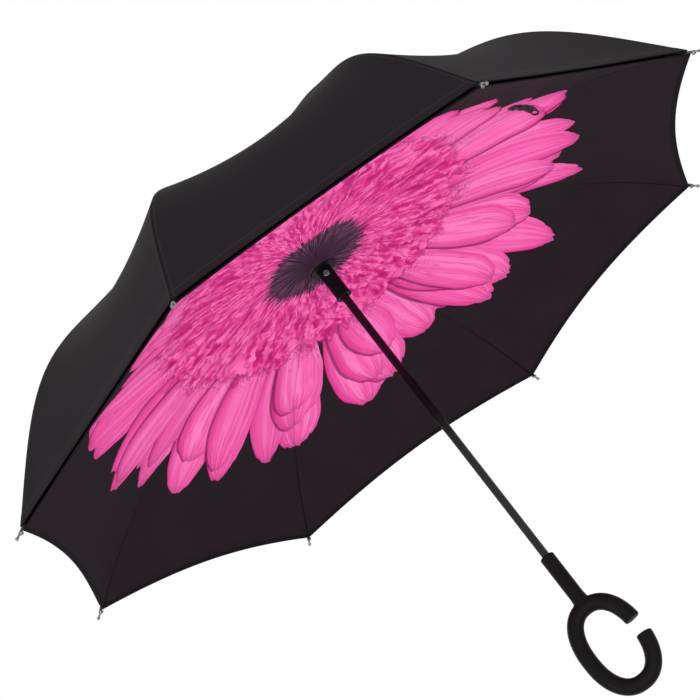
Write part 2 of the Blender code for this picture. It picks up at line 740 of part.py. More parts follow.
def runner_mesh():
    """Collar that slides on the shaft, with a notched hub above the inner layer."""
    seat = RUNNER_SEAT_HEIGHT
    cloth_top = seat + CLOTH_THICKNESS / 2 + SEAT_GAP
    cloth_bottom = seat - CLOTH_THICKNESS / 2 - SEAT_GAP
    hub_top = cloth_top + RUNNER_HUB_HEIGHT
    collar_top = cloth_bottom - ROSETTE_THICKNESS - SEAT_GAP
    collar_end = seat - RUNNER_COLLAR_LENGTH
    lip = RUNNER_COLLAR_RADIUS + RUNNER_COLLAR_LIP
    profile = [
        (RUNNER_BORE_RADIUS, hub_top),
        (RUNNER_BORE_RADIUS, collar_end),
        (lip, collar_end),
        (lip, collar_end + RUNNER_LIP_HEIGHT),
        (RUNNER_COLLAR_RADIUS, collar_end + RUNNER_LIP_HEIGHT),
        (RUNNER_COLLAR_RADIUS, collar_top),
        (RUNNER_SPIGOT_RADIUS, collar_top),
        (RUNNER_SPIGOT_RADIUS, cloth_top),
        (RUNNER_HUB_RADIUS, cloth_top),
        (RUNNER_HUB_RADIUS, hub_top),
    ]
    slots = radial_blocks(
        RUNNER_HUB_CORE_RADIUS,
        RUNNER_HUB_RADIUS + OVERRUN,
        cloth_top + RUNNER_HUB_FLOOR,
        hub_top + OVERRUN,
        EYE_WIDTH / 2 + SEAT_GAP,
    )
    groove = wire_groove(*RUNNER_PIVOT, RUNNER_HUB_RADIUS)
    button_height = seat - BUTTON_DROP
    upright = Matrix.Translation((0, 0, button_height)) @ Matrix.Rotation(math.pi / 2, 4, "X")
    boss_profile = [(0, 0), (0, BOSS_REACH), (BOSS_RADIUS, BOSS_REACH), (BOSS_RADIUS, 0)]
    boss = turned(boss_profile, BOSS_STEPS)
    boss.transform(upright)
    bore_radius = RUNNER_BORE_RADIUS
    flange_front = BOSS_REACH - BOSS_LIP
    pocket_profile = [
        (0, bore_radius + SEAT_GAP),
        (BUTTON_FLANGE_RADIUS + SEAT_GAP, bore_radius + SEAT_GAP),
        (BUTTON_FLANGE_RADIUS + SEAT_GAP, flange_front),
        (BUTTON_RADIUS + SEAT_GAP, flange_front),
        (BUTTON_RADIUS + SEAT_GAP, BOSS_REACH + OVERRUN),
        (0, BOSS_REACH + OVERRUN),
    ]
    pocket = turned(pocket_profile, BOSS_STEPS)
    pocket.transform(upright)
    shaft_hole = turned(
        [
            (0, collar_end - OVERRUN),
            (bore_radius, collar_end - OVERRUN),
            (bore_radius, hub_top + OVERRUN),
            (0, hub_top + OVERRUN),
        ]
    )
    return combined(
        "runner", turned(profile), joined=[boss], cut=[shaft_hole, pocket, *slots, groove]
    )


def button_mesh():
    """Round push button with a flange behind the boss's lip, along -Y from its own origin."""
    flange_front = BOSS_REACH - BOSS_LIP - SEAT_GAP
    flange_back = flange_front - BUTTON_FLANGE_THICKNESS
    front = BOSS_REACH + BUTTON_PROUD
    edge = BUTTON_EDGE
    profile = [
        (0, flange_back),
        (BUTTON_FLANGE_RADIUS, flange_back),
        (BUTTON_FLANGE_RADIUS, flange_front),
        (BUTTON_RADIUS, flange_front),
        (BUTTON_RADIUS, front - edge),
        (BUTTON_RADIUS - edge, front),
        (0, front),
    ]
    mesh = turned(profile, BOSS_STEPS)
    mesh.transform(Matrix.Rotation(math.pi / 2, 4, "X"))
    return mesh


def button_spring_mesh():
    """Arched leaf spring between the pocket's floor and the button's flange."""
    floor = RUNNER_BORE_RADIUS + 2 * SEAT_GAP
    flange_back = BOSS_REACH - BOSS_LIP - 2 * SEAT_GAP - BUTTON_FLANGE_THICKNESS
    rise = flange_back - floor - SPRING_THICKNESS
    shares = [step / SPRING_STEPS for step in range(SPRING_STEPS + 1)]
    lower = [
        (
            SPRING_HALF_LENGTH * (2 * share - 1),
            floor + rise * 4 * share * (1 - share),
        )
        for share in shares
    ]
    upper = [(x, z + SPRING_THICKNESS) for x, z in lower]
    mesh = prism(lower + upper[::-1], -SPRING_WIDTH / 2, SPRING_WIDTH / 2)
    mesh.transform(Matrix.Rotation(math.pi / 2, 4, "X"))
    return mesh


def cloth_spot(height_at, rib_radius, within):
    """Distance from the shaft and height of a layer, between two ribs where within is -1 and 1."""
    belly = 1 - within * within
    chord = math.cos(GORE_ANGLE / 2) / math.cos(within * GORE_ANGLE / 2)
    past_seat = max(0.0, rib_radius - SEAT_DISC_RADIUS)
    flatness = min(1.0, past_seat / (ELBOW_RADIUS - SEAT_DISC_RADIUS))
    radius = rib_radius * (1 + (chord - 1) * flatness)
    sag = GORE_SAG_DEPTH * belly * math.sin(math.pi * past_seat / RIM_RADIUS)
    return radius, height_at(rib_radius) - sag


def canopy_mesh(height_at, hole_radius):
    """One layer of cloth: eight gores that hang a little between the ribs, with a curved hem."""
    columns = RIB_COUNT * GORE_STEPS
    scallop_share = HEM_SCALLOP_DEPTH / RIM_RADIUS
    span = RIM_RADIUS - SEAT_DISC_RADIUS
    shares = [(row / RADIAL_STEPS) ** RING_CROWDING_SHARE for row in range(RADIAL_STEPS + 1)]
    shape = bmesh.new()
    rings = []
    for rib_radius, share in [(hole_radius, 0)] + [(SEAT_DISC_RADIUS + span * s, s) for s in shares]:
        ring = []
        for column in range(columns):
            within = 2 * (column % GORE_STEPS) / GORE_STEPS - 1
            drawn_in = 1 - scallop_share * (1 - within * within) * share**3
            radius, height = cloth_spot(height_at, rib_radius * drawn_in, within)
            angle = FIRST_RIB_ANGLE + GORE_ANGLE * (column / GORE_STEPS)
            spot = (radius * math.cos(angle), radius * math.sin(angle), height)
            ring.append(shape.verts.new(spot))
        rings.append(ring)
    for inner, outer in zip(rings, rings[1:]):
        for i in range(columns):
            after = (i + 1) % columns
            shape.faces.new((inner[i], outer[i], outer[after], inner[after]))
    for vertex in shape.verts:
        vertex.co.z -= CLOTH_THICKNESS / 2
    grown = bmesh.ops.extrude_face_region(shape, geom=shape.faces[:])
    moved = [v for v in grown["geom"] if isinstance(v, bmesh.types.BMVert)]
    bmesh.ops.translate(shape, verts=moved, vec=(0, 0, CLOTH_THICKNESS))
    return mesh_of("canopy", shape)


def strap_mesh():
    """Closing strap: a narrow wavy tape that lies round the shaft's axis under the inner layer."""
    shape = bmesh.new()
    sweep = STRAP_LENGTH / STRAP_PLACE_RADIUS
    drop = CLOTH_THICKNESS / 2 + STRAP_THICKNESS + STRAP_CLEARANCE
    rows = []
    for step in range(STRAP_STEPS + 1):
        angle = STRAP_ANGLE + sweep * (step / STRAP_STEPS - 1 / 2)
        gore_place = (angle - FIRST_RIB_ANGLE) / GORE_ANGLE
        within = 2 * (gore_place - math.floor(gore_place)) - 1
        wave = STRAP_WAVE * math.sin(STRAP_WAVES * math.pi * step / STRAP_STEPS) ** 2
        row = []
        for side in (-1, 1):
            rib_radius = STRAP_PLACE_RADIUS + side * STRAP_WIDTH / 2
            radius, height = cloth_spot(inner_height, rib_radius, within)
            row.append(
                shape.verts.new(
                    (radius * math.cos(angle), radius * math.sin(angle), height - drop - wave)
                )
            )
        rows.append(row)
    for before, after in zip(rows, rows[1:]):
        shape.faces.new((before[0], before[1], after[1], after[0]))
    grown = bmesh.ops.extrude_face_region(shape, geom=shape.faces[:])
    moved = [v for v in grown["geom"] if isinstance(v, bmesh.types.BMVert)]
    bmesh.ops.translate(shape, verts=moved, vec=(0, 0, STRAP_THICKNESS))
    return mesh_of("strap", shape)


def centred(mesh, hinge):
    """The mesh with its hinge moved to its own origin."""
    mesh.transform(Matrix.Translation((-hinge[0], 0, -hinge[1])))
    return mesh


def at_angle(hinge, angle):
    """World place of a hinge of the rib set at an angle round the shaft."""
    return hinge[0] * math.cos(angle), hinge[0] * math.sin(angle), hinge[1]


def build_shaft_and_handle():
    """The fixed spine: handle, shaft, crown with its wire, washer and cap."""
    place("c_handle", handle_mesh(), "soft_grip")
    place("shaft_tube", shaft_mesh(), "black_steel")
    place("crown", crown_mesh(), "moulded_black")
    place("crown_wire", wire_mesh(*CROWN_PIVOT), "bright_wire")
    washer_low = CROWN_SEAT_HEIGHT + CLOTH_THICKNESS / 2 + SEAT_GAP
    bore = CROWN_STUD_RADIUS + SEAT_GAP
    washer = washer_mesh(WASHER_RADIUS, bore, washer_low, WASHER_THICKNESS)
    place("canopy_washer", washer, "moulded_black")
    place("top_cap", cap_mesh(), "moulded_black")


def build_runner():
    """The sliding runner with its wire, rosette, button and spring."""
    slide = frame_at("runner_frame", (0, 0, RUNNER_SEAT_HEIGHT))
    lift = (0, 0, -RUNNER_SEAT_HEIGHT)
    place("runner", runner_mesh(), "moulded_black", lift, parent=slide)
    place("runner_wire", wire_mesh(*RUNNER_PIVOT), "bright_wire", lift, parent=slide)
    rosette_low = RUNNER_SEAT_HEIGHT - CLOTH_THICKNESS / 2 - SEAT_GAP - ROSETTE_THICKNESS
    bore = RUNNER_SPIGOT_RADIUS + SEAT_GAP
    rosette = washer_mesh(ROSETTE_RADIUS, bore, rosette_low, ROSETTE_THICKNESS)
    place("runner_rosette", rosette, "black_cloth", lift, parent=slide)
    place("release_button", button_mesh(), "grey_button", (0, 0, -BUTTON_DROP), parent=slide)
    spring = button_spring_mesh()
    place("button_spring", spring, "bright_wire", (0, 0, -BUTTON_DROP), parent=slide)


def build_rib_sets():
    """Eight sets of four hinged links, and a bright tip on each."""
    links = {
        "lower_arm": (centred(lower_arm_mesh(), RUNNER_PIVOT), RUNNER_PIVOT),
        "lower_rib": (centred(lower_rib_mesh(), LOWER_ELBOW), LOWER_ELBOW),
        "upper_rib": (centred(upper_rib_mesh(), TIP_PIVOT), TIP_PIVOT),
        "upper_arm": (centred(upper_arm_mesh(), CROWN_PIVOT), CROWN_PIVOT),
    }
    last = Vector(on_bow(LOWER_ELBOW, RIB_END, LOWER_RIB_BOW, 1.0))
    before = Vector(on_bow(LOWER_ELBOW, RIB_END, LOWER_RIB_BOW, 1 - 1 / BOW_STEPS))
    run = last - before
    tip = tip_mesh()
    tip.transform(Matrix.Rotation(-math.atan2(run.y, run.x), 4, "Y"))
    for number in range(RIB_COUNT):
        angle = FIRST_RIB_ANGLE + number * GORE_ANGLE
        for kind, (mesh, hinge) in links.items():
            place(f"{kind}_{number + 1}", mesh, "dark_rib", at_angle(hinge, angle), angle)
        place(f"rib_tip_{number + 1}", tip, "bright_tip", at_angle(RIB_END, angle), angle)


def build_cloth():
    """Both layers of the canopy and the closing strap."""
    stud_hole = CROWN_STUD_RADIUS + SEAT_GAP
    place("outer_canopy", canopy_mesh(outer_height, stud_hole), "black_cloth")
    printed = canopy_mesh(inner_height, RUNNER_SPIGOT_RADIUS + SEAT_GAP)
    for name in ("black_cloth", "pink_print"):
        printed.materials.append(finish(name))
    for polygon in printed.polygons:
        polygon.material_index = int(polygon.center.xy.length < PRINT_RADIUS)
    place("inner_canopy", printed)
    place("closing_strap", strap_mesh(), "black_cloth")


clear_scene()
build_shaft_and_handle()
build_runner()
build_rib_sets()
build_cloth()
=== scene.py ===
"""The look of a reverse-folding umbrella: two cloth layers, rib sets, runner, shaft and C handle."""

import logging
import math
from dataclasses import asdict, dataclass, field
from enum import Enum

import bmesh
import bpy
from mathutils import Matrix, Vector


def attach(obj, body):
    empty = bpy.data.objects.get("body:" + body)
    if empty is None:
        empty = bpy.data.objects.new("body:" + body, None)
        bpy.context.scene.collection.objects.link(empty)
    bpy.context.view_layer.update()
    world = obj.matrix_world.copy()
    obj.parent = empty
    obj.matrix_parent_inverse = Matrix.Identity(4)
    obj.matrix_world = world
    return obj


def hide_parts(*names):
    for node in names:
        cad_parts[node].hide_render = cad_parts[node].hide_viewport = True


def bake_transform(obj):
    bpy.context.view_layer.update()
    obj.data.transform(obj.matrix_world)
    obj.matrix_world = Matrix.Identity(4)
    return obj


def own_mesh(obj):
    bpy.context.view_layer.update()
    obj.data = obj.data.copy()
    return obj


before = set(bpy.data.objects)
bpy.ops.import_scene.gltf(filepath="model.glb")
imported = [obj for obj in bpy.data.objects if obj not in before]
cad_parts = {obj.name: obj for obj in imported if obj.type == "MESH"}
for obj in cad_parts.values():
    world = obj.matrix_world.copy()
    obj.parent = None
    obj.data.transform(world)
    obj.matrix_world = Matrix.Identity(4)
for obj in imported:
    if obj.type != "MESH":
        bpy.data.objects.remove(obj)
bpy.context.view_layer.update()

LOG = logging.getLogger("umbrella")
FULL_TURN = 2 * math.pi
GORES = 8
HALF_GORE = math.pi / GORES
FIRST_RIB = math.radians(-16.15)
MERGE_DISTANCE = 1e-6
FIT_ROUNDS = 14
SEARCH_ROUNDS = 40
WHITE = (1, 1, 1, 1)
Colour = tuple[float, float, float, float]


def rib_turn(number: int) -> Matrix:
    """The turn round the shaft that takes the X axis to a rib, counted from 0."""
    return Matrix.Rotation(FIRST_RIB + 2 * HALF_GORE * number, 4, "Z")


def placed(name: str, data: bpy.types.ID) -> bpy.types.Object:
    """Put a new object in the scene.

    Args:
        name: The object's name.
        data: Its mesh, curve, light or camera.

    Returns:
        The object.
    """
    made = bpy.data.objects.new(name, data)
    bpy.context.scene.collection.objects.link(made)
    return made


def colour(red: float, green: float, blue: float) -> Colour:
    """A display colour, given from 0 to 255, as the linear one that a shader takes.

    Args:
        red: Red as displayed.
        green: Green as displayed.
        blue: Blue as displayed.

    Returns:
        The linear colour with full alpha.
    """
    shares = [value / 255 for value in (red, green, blue)]
    linear = [s / 12.92 if s <= 0.04045 else ((s + 0.055) / 1.055) ** 2.4 for s in shares]
    return (*linear, 1.0)


class Value:
    """An output socket of a node tree. Arithmetic on it adds Math nodes to the tree."""

    def __init__(self, graph: "Graph", socket: bpy.types.NodeSocket) -> None:
        """Hold a socket of the graph."""
        self.graph = graph
        self.socket = socket

    def __add__(self, other: "Number") -> "Value":
        """The sum of two values."""
        return self.graph.math("ADD", self, other)

    def __sub__(self, other: "Number") -> "Value":
        """This value less another."""
        return self.graph.math("SUBTRACT", self, other)

    def __rsub__(self, other: float) -> "Value":
        """A number less this value."""
        return self.graph.math("SUBTRACT", other, self)

    def __mul__(self, other: "Number") -> "Value":
        """The product of two values."""
        return self.graph.math("MULTIPLY", self, other)

    def __truediv__(self, other: "Number") -> "Value":
        """This value divided by another."""
        return self.graph.math("DIVIDE", self, other)

    def __abs__(self) -> "Value":
        """The value without its sign."""
        return self.graph.math("ABSOLUTE", self)

    def scaled(self, share: "Number", offset: "Number") -> "Value":
        """The value times a share, plus an offset, in one node."""
        return self.graph.math("MULTIPLY_ADD", self, share, offset)

    def larger(self, other: "Number") -> "Value":
        """The larger of two values."""
        return self.graph.math("MAXIMUM", self, other)

    def smaller(self, other: "Number") -> "Value":
        """The smaller of two values."""
        return self.graph.math("MINIMUM", self, other)

    def wave(self, length: float) -> "Value":
        """A sine wave along the value."""
        return self.graph.math("SINE", self * (FULL_TURN / length))

    def step(self, low: "Number", high: "Number") -> "Value":
        """A smooth rise from 0 at low to 1 at high."""
        inputs = {"Value": self, "From Min": low, "From Max": high}
        return self.graph.add("ShaderNodeMapRange", inputs, interpolation_type="SMOOTHSTEP")

    def fall(self, low: "Number", high: "Number") -> "Value":
        """A smooth fall from 1 at low to 0 at high."""
        return 1 - self.step(low, high)

    def parts(self) -> list["Value"]:
        """The three parts of a vector or a colour."""
        split = self.graph.node("ShaderNodeSeparateXYZ", {0: self})
        return [Value(self.graph, socket) for socket in split.outputs]


Number = Value | float


class Graph:
    """Places shader nodes in one node tree and links them."""

    def __init__(self, tree: bpy.types.NodeTree) -> None:
        """Work in the given tree."""
        self.tree = tree

    def put(self, socket: bpy.types.NodeSocket, value: object) -> None:
        """Link a value to an input, or set the input's own value.

        Args:
            socket: The input.
            value: A value of this tree, or a plain one.
        """
        if isinstance(value, Value):
            self.tree.links.new(value.socket, socket)
        else:
            socket.default_value = value

    def fill(self, node: bpy.types.Node, inputs: dict[int | str, object]) -> bpy.types.Node:
        """Put values into a node's inputs.

        Args:
            node: The node.
            inputs: Values of its inputs, by name or place.

        Returns:
            The node.
        """
        for name, value in inputs.items():
            self.put(node.inputs[name], value)
        return node

    def node(self, kind: str, inputs: dict[int | str, object], **settings: object) -> bpy.types.Node:
        """A new node.

        Args:
            kind: Blender's name of the node's type.
            inputs: Values of its inputs, by name or place.
            **settings: Its own settings, made before the inputs.

        Returns:
            The node.
        """
        made = self.tree.nodes.new(kind)
        for name, value in settings.items():
            setattr(made, name, value)
        return self.fill(made, inputs)

    def add(
        self, kind: str, inputs: dict[int | str, object], output: int | str = 0, **settings: object
    ) -> Value:
        """One output of a new node, whose other arguments are those of node."""
        return Value(self, self.node(kind, inputs, **settings).outputs[output])

    def outputs(self, node: bpy.types.Node) -> dict[str, Value]:
        """All of a node's outputs by name."""
        return {socket.name: Value(self, socket) for socket in node.outputs}

    def math(self, operation: str, *values: Number) -> Value:
        """One Math node on up to three values."""
        return self.add("ShaderNodeMath", dict(enumerate(values)), operation=operation)

    def length(self, x: Value, y: Value) -> Value:
        """Length of a flat vector."""
        return self.math("SQRT", x * x + y * y)

    def polar(self, flat: Value) -> tuple[Value, Value]:
        """Distance from the origin, and turn round it from 0 to 1, of a place on the cloth."""
        x, y, _ = flat.parts()
        return self.length(x, y), self.math("ARCTAN2", y, x).scaled(1 / FULL_TURN, 0.5)

    def moved(self, operation: str, vector: Value, by: tuple[float, float, float]) -> Value:
        """A vector changed by a constant one."""
        return self.add("ShaderNodeVectorMath", {0: vector, 1: by}, operation=operation)

    def mix(self, share: Number, first: Value | Colour, second: Value | Colour) -> Value:
        """A colour between two colours."""
        return self.add("ShaderNodeMix", {0: share, 6: first, 7: second}, 2, data_type="RGBA")

    def over(self, base: Value | Colour, *coats: tuple[Number, Value | Colour]) -> Value:
        """A colour with others laid over it in turn, each by its share.

        Args:
            base: The colour below.
            *coats: Each coat's share and its colour.

        Returns:
            The colour on top.
        """
        for share, coat in coats:
            base = self.mix(share, base, coat)
        return base

    def blend(self, share: Value, first: Number, second: Number) -> Value:
        """A number between two numbers."""
        return self.add("ShaderNodeMix", {0: share, 2: first, 3: second}, data_type="FLOAT")

    def noise(self, place: Value | tuple[Number, ...], scale: float, detail: float) -> Value:
        """Soft noise from 0 to 1.

        Args:
            place: A vector, or its three parts.
            scale: Waves to a unit of the vector.
            detail: Octaves of finer noise.

        Returns:
            The noise.
        """
        if isinstance(place, tuple):
            place = self.add("ShaderNodeCombineXYZ", dict(enumerate(place)))
        return self.add("ShaderNodeTexNoise", {"Vector": place, "Scale": scale, "Detail": detail})

    def cells(self, place: Value, scale: float, **settings: str) -> dict[str, Value]:
        """Cells round scattered points: their distances, places and random colours."""
        inputs = {"Vector": place, "Scale": scale}
        return self.outputs(self.node("ShaderNodeTexVoronoi", inputs, **settings))

    def uv(self, name: str) -> Value:
        """A piece's own UV map."""
        return self.add("ShaderNodeUVMap", {}, uv_map=name)

    def place(self) -> Value:
        """Object coordinates, in metres."""
        return self.add("ShaderNodeTexCoord", {}, "Object")

    def bump(self, height: Value, depth: float, strength: float = 1.0) -> Value:
        """A normal raised by a height map whose full range is depth metres."""
        return self.add("ShaderNodeBump", {"Height": height, "Distance": depth, "Strength": strength})

    def group(self, effect: "Effect", **inputs: Number) -> dict[str, Value]:
        """The outputs of one of the shared effects, with its own inputs."""
        return self.outputs(self.node("ShaderNodeGroup", inputs, node_tree=effect.tree()))


class Effect:
    """A node group that several materials share, with vectors and numbers in and numbers out."""

    name: str
    vectors: tuple[str, ...] = ()
    numbers: tuple[str, ...] = ()
    outputs: tuple[str, ...]

    def fill(self, g: Graph, given: dict[str, Value]) -> dict[str, Value]:
        """Place the group's nodes.

        Args:
            g: The group's graph.
            given: The group's inputs by name.

        Returns:
            The group's outputs by name.
        """
        raise NotImplementedError

    def tree(self) -> bpy.types.NodeTree:
        """The group's node tree, built when it is first asked for.

        Returns:
            The node tree.
        """
        found = bpy.data.node_groups.get(self.name)
        if found:
            return found
        tree = bpy.data.node_groups.new(self.name, "ShaderNodeTree")
        sockets = [(label, "INPUT", "NodeSocketVector") for label in self.vectors]
        sockets += [(label, "INPUT", "NodeSocketFloat") for label in self.numbers]
        sockets += [(label, "OUTPUT", "NodeSocketFloat") for label in self.outputs]
        for label, way, kind in sockets:
            tree.interface.new_socket(label, in_out=way, socket_type=kind)
        g = Graph(tree)
        given = g.outputs(g.node("NodeGroupInput", {}))
        g.node("NodeGroupOutput", self.fill(g, given))
        return tree


class PetalEffect(Effect):
    """One ring of printed petals round the shaft."""

    name = "petal_ring"
    numbers = (
        "Distance", "Turn", "Count", "Shift", "Inner",
        "Outer", "Width", "Seed", "Stagger", "Uneven",
    )
    outputs = ("Mask", "Side", "Along", "Chance", "Shadow")
    teeth_depth = 0.06
    tip_least = 0.45
    tip_spread = 0.85
    roundness = 0.58
    foot_share = 0.52
    swell_end = 0.65
    bend_size = 0.018
    edge_blur = 0.0012
    shadow_shift = 0.0020
    shadow_blur = 0.0024

    def fill(self, g: Graph, given: dict[str, Value]) -> dict[str, Value]:
        """Each petal's length, place and bend are its own, and its tip is blunt.

        Args:
            g: The group's graph.
            given: Place round the shaft, and the ring's sizes.

        Returns:
            Cover, place across and along the petal, its chance number and its shadow.
        """
        distance = given["Distance"]
        width = given["Width"]
        turned = given["Turn"].scaled(given["Count"], given["Shift"])
        number = g.math("MODULO", g.math("FLOOR", turned), given["Count"])
        draw = {"W": given["Seed"].scaled(31.7, number)}
        drawn = g.add("ShaderNodeTexWhiteNoise", draw, "Color", noise_dimensions="1D")
        first, second, third = drawn.parts()
        aside = (first - 0.5) * given["Stagger"]
        across = g.math("FRACT", turned) - 0.5 - aside
        offset = across * (distance * FULL_TURN / given["Count"])
        reach = given["Outer"] * (1 - second * given["Uneven"])
        run = reach - given["Inner"]
        teeth = g.noise((number * 7.3, offset * 105.0, 0.0), 1.0, 1.0)
        along = (teeth - 0.5).scaled(self.teeth_depth, (distance - given["Inner"]) / run)
        blunt = width * third.scaled(self.tip_spread, self.tip_least) / run
        tip_share = (along - (1 - blunt)).larger(0.0).smaller(blunt) / blunt
        rounded = g.math("POWER", 1 - tip_share * tip_share, self.roundness)
        swell = g.blend(along.step(0.0, self.swell_end), self.foot_share, 1.0)
        half = width * 0.5 * (swell * rounded)
        bend = g.noise((number * 3.1, along * 1.6, 0.0), 1.0, 1.0)
        offset = (bend - 0.5).scaled(self.bend_size, offset)
        started = along.step(0.0, 0.03)
        mask = (half - abs(offset)).step(0.0, self.edge_blur) * started * g.math("LESS_THAN", along, 1.0)
        cast = (half - abs(offset - self.shadow_shift)).step(-self.shadow_blur, 0.0)
        shadow = cast * started * along.fall(0.97, 1.03)
        side = offset / half.larger(0.001)
        return {"Mask": mask, "Side": side, "Along": along, "Chance": third, "Shadow": shadow}


class FrillEffect(Effect):
    """Crowded small florets round the flower's middle."""

    name = "floret_frill"
    vectors = ("Flat",)
    numbers = ("Distance", "Around", "Outward", "Seed")
    outputs = ("Edge", "Tip", "Chance", "Stroke")
    sway_outward = 1.3
    sway_around = 1.6

    def fill(self, g: Graph, given: dict[str, Value]) -> dict[str, Value]:
        """Cells swayed by noise, with strokes that run outwards.

        Args:
            g: The group's graph.
            given: Place on the cloth, and the band's sizes.

        Returns:
            Edge, tip, chance number and stroke of a floret.
        """
        x, y, _ = given["Flat"].parts()
        sway = g.noise(given["Flat"], 34.0, 2.0) - 0.5
        along = sway.scaled(self.sway_outward, given["Distance"].scaled(given["Outward"], given["Seed"]))
        near = given["Distance"].larger(0.001)
        aside = sway * self.sway_around
        east, north = ((part / near).scaled(given["Around"], aside) for part in (x, y))
        spot = g.add("ShaderNodeCombineXYZ", {0: east, 1: north, 2: along})
        cell = g.cells(spot, 1.0)
        rim = g.cells(spot, 1.0, feature="DISTANCE_TO_EDGE")
        _, _, root = cell["Position"].parts()
        chance, other, _ = cell["Color"].parts()
        broad = g.noise((east, north, along * 0.5), 1.3, 1.0)
        fine = g.noise((east * 2.2, north * 2.2, along * 0.8), 1.0, 2.0)
        return {
            "Edge": rim["Distance"].fall(0.0, 0.15),
            "Tip": (along - root).step(-0.55, 0.45),
            "Chance": chance * other,
            "Stroke": fine.scaled(0.7, broad * 0.3),
        }


class ClothEffect(Effect):
    """Fine weave, rib seams, a stitched hem and painted shade along it, from a sheet's two UV maps."""

    name = "sewn_cloth"
    vectors = ("Flat", "Trim")
    outputs = ("Weave", "Seam", "Hem", "Stitch", "Height")
    thread = 0.0007
    crease = (0.0004, 0.0019)
    allowance = (0.0045, 0.0052)
    hem_shade = (0.0045, 0.0070)
    turned_in = (0.0082, 0.0090)
    stitch_length = 0.0032
    stitch_gap = (-0.5, -0.2)
    stitch_half = (0.0002, 0.0005)
    seam_stitch = 0.0034
    hem_stitch = 0.0068

    def stitches(self, from_line: Value, along: Value) -> Value:
        """A row of stitches, from the distance to its line and the place along it."""
        dashes = along.wave(self.stitch_length).step(*self.stitch_gap)
        return abs(from_line).fall(*self.stitch_half) * dashes

    def fill(self, g: Graph, given: dict[str, Value]) -> dict[str, Value]:
        """Woven threads, creased seams with stitches beside them, a doubled, stitched hem and painted
        shade along it.

        Args:
            g: The group's graph.
            given: Flat, the place in the plan, and Trim, the places beside the seam and inside the hem.

        Returns:
            Weave, seam, painted shade along the hem, stitches and height of the cloth.
        """
        x, y, _ = given["Flat"].parts()
        seam_place, hem_place, _ = given["Trim"].parts()
        weave = (x.wave(self.thread) * y.wave(self.thread)).scaled(0.5, 0.5)
        from_seam = abs(seam_place)
        crease = from_seam.fall(*self.crease)
        raised = from_seam.fall(*self.allowance).larger(hem_place.fall(*self.turned_in))
        seam_row = self.stitches(from_seam - self.seam_stitch, g.length(x, y))
        stitch = seam_row.larger(self.stitches(hem_place - self.hem_stitch, seam_place))
        height = raised * 0.4 - crease * 0.6 + stitch * 0.35 + weave * 0.10
        # Painted shade: a band that darkens the cloth towards the hem, standing in for the shade between
        # the two layers' hems.
        edge = hem_place.fall(*self.hem_shade)
        return {"Weave": weave, "Seam": crease, "Hem": edge, "Stitch": stitch, "Height": height}


class WearEffect(Effect):
    """Uneven gloss and small rubbed marks on a hard finish."""

    name = "handled_surface"
    vectors = ("Place",)
    numbers = ("Low", "High")
    outputs = ("Rough", "Marks", "Grain")

    def fill(self, g: Graph, given: dict[str, Value]) -> dict[str, Value]:
        """Broad clouds of gloss, sparse marks and a fine grain.

        Args:
            g: The group's graph.
            given: Place on the piece, and the range of its roughness.

        Returns:
            Roughness, rubbed marks and grain.
        """
        place = given["Place"]
        return {
            "Rough": g.blend(g.noise(place, 45.0, 4.0), given["Low"], given["High"]),
            "Marks": g.noise(place, 210.0, 5.0).step(0.58, 0.70),
            "Grain": g.noise(place, 1500.0, 2.0),
        }


class Slot(Enum):
    """The record's material slots."""

    GRIP = "soft_grip"
    SHAFT = "black_steel"
    MOULDED = "moulded_black"
    WIRE = "bright_wire"
    TIP = "bright_tip"
    RIB = "dark_rib"
    BUTTON = "grey_button"
    OUTER_CLOTH = "black_cloth"
    INNER_CLOTH = "printed_cloth"
    TAPE = "black_tape"


@dataclass(frozen=True)
class Finish:
    """A finish of one material slot, made into a Blender material when first used."""

    slot: Slot

    def look(self, g: Graph) -> dict[str, object]:
        """The shader's inputs by name."""
        raise NotImplementedError

    def material(self) -> bpy.types.Material:
        """The finish's material, built once.

        Returns:
            The material.
        """
        name = f"{self.slot.value}_look"
        found = bpy.data.materials.get(name)
        if found:
            return found
        made = bpy.data.materials.new(name)
        made.use_nodes = True
        g = Graph(made.node_tree)
        g.fill(made.node_tree.nodes["Principled BSDF"], self.look(g))
        return made


@dataclass(frozen=True)
class HardFinish(Finish):
    """Metal, coating or moulded plastic with a little wear."""

    base: Colour
    worn: Colour
    rough: tuple[float, float]
    metal: float = 0.0
    specular: float = 0.5
    grain_depth: float = 0.00002

    def look(self, g: Graph) -> dict[str, object]:
        """Uneven gloss, rubbed marks and a fine grain.

        Args:
            g: The material's graph.

        Returns:
            The shader's inputs by name.
        """
        wear = g.group(WearEffect(), Place=g.place(), Low=self.rough[0], High=self.rough[1])
        return {
            "Base Color": g.mix(wear["Marks"], self.base, self.worn),
            "Roughness": wear["Rough"],
            "Normal": g.bump(wear["Grain"], self.grain_depth),
            "Metallic": self.metal,
            "Specular IOR Level": self.specular,
        }


@dataclass(frozen=True)
class SoftGrip(Finish):
    """Soft-touch rubber over the moulded handle, with the mould's parting line round its side."""

    base: Colour = colour(12, 9, 11)
    polished: Colour = colour(17, 14, 16)
    rough: tuple[float, float] = (0.42, 0.55)
    line_width: float = 0.0003

    def look(self, g: Graph) -> dict[str, object]:
        """Velvety black with soft sheen and a faint parting line.

        Args:
            g: The material's graph.

        Returns:
            The shader's inputs by name.
        """
        place = g.place()
        _, y, _ = place.parts()
        wear = g.group(WearEffect(), Place=place, Low=self.rough[0], High=self.rough[1])
        line = abs(y).fall(self.line_width, 2 * self.line_width)
        return {
            "Base Color": g.mix(g.noise(place, 30.0, 3.0), self.base, self.polished),
            "Roughness": wear["Rough"],
            "Normal": g.bump(line * 0.8 + wear["Grain"] * 0.35, 0.00008),
            "Specular IOR Level": 0.06,
        }


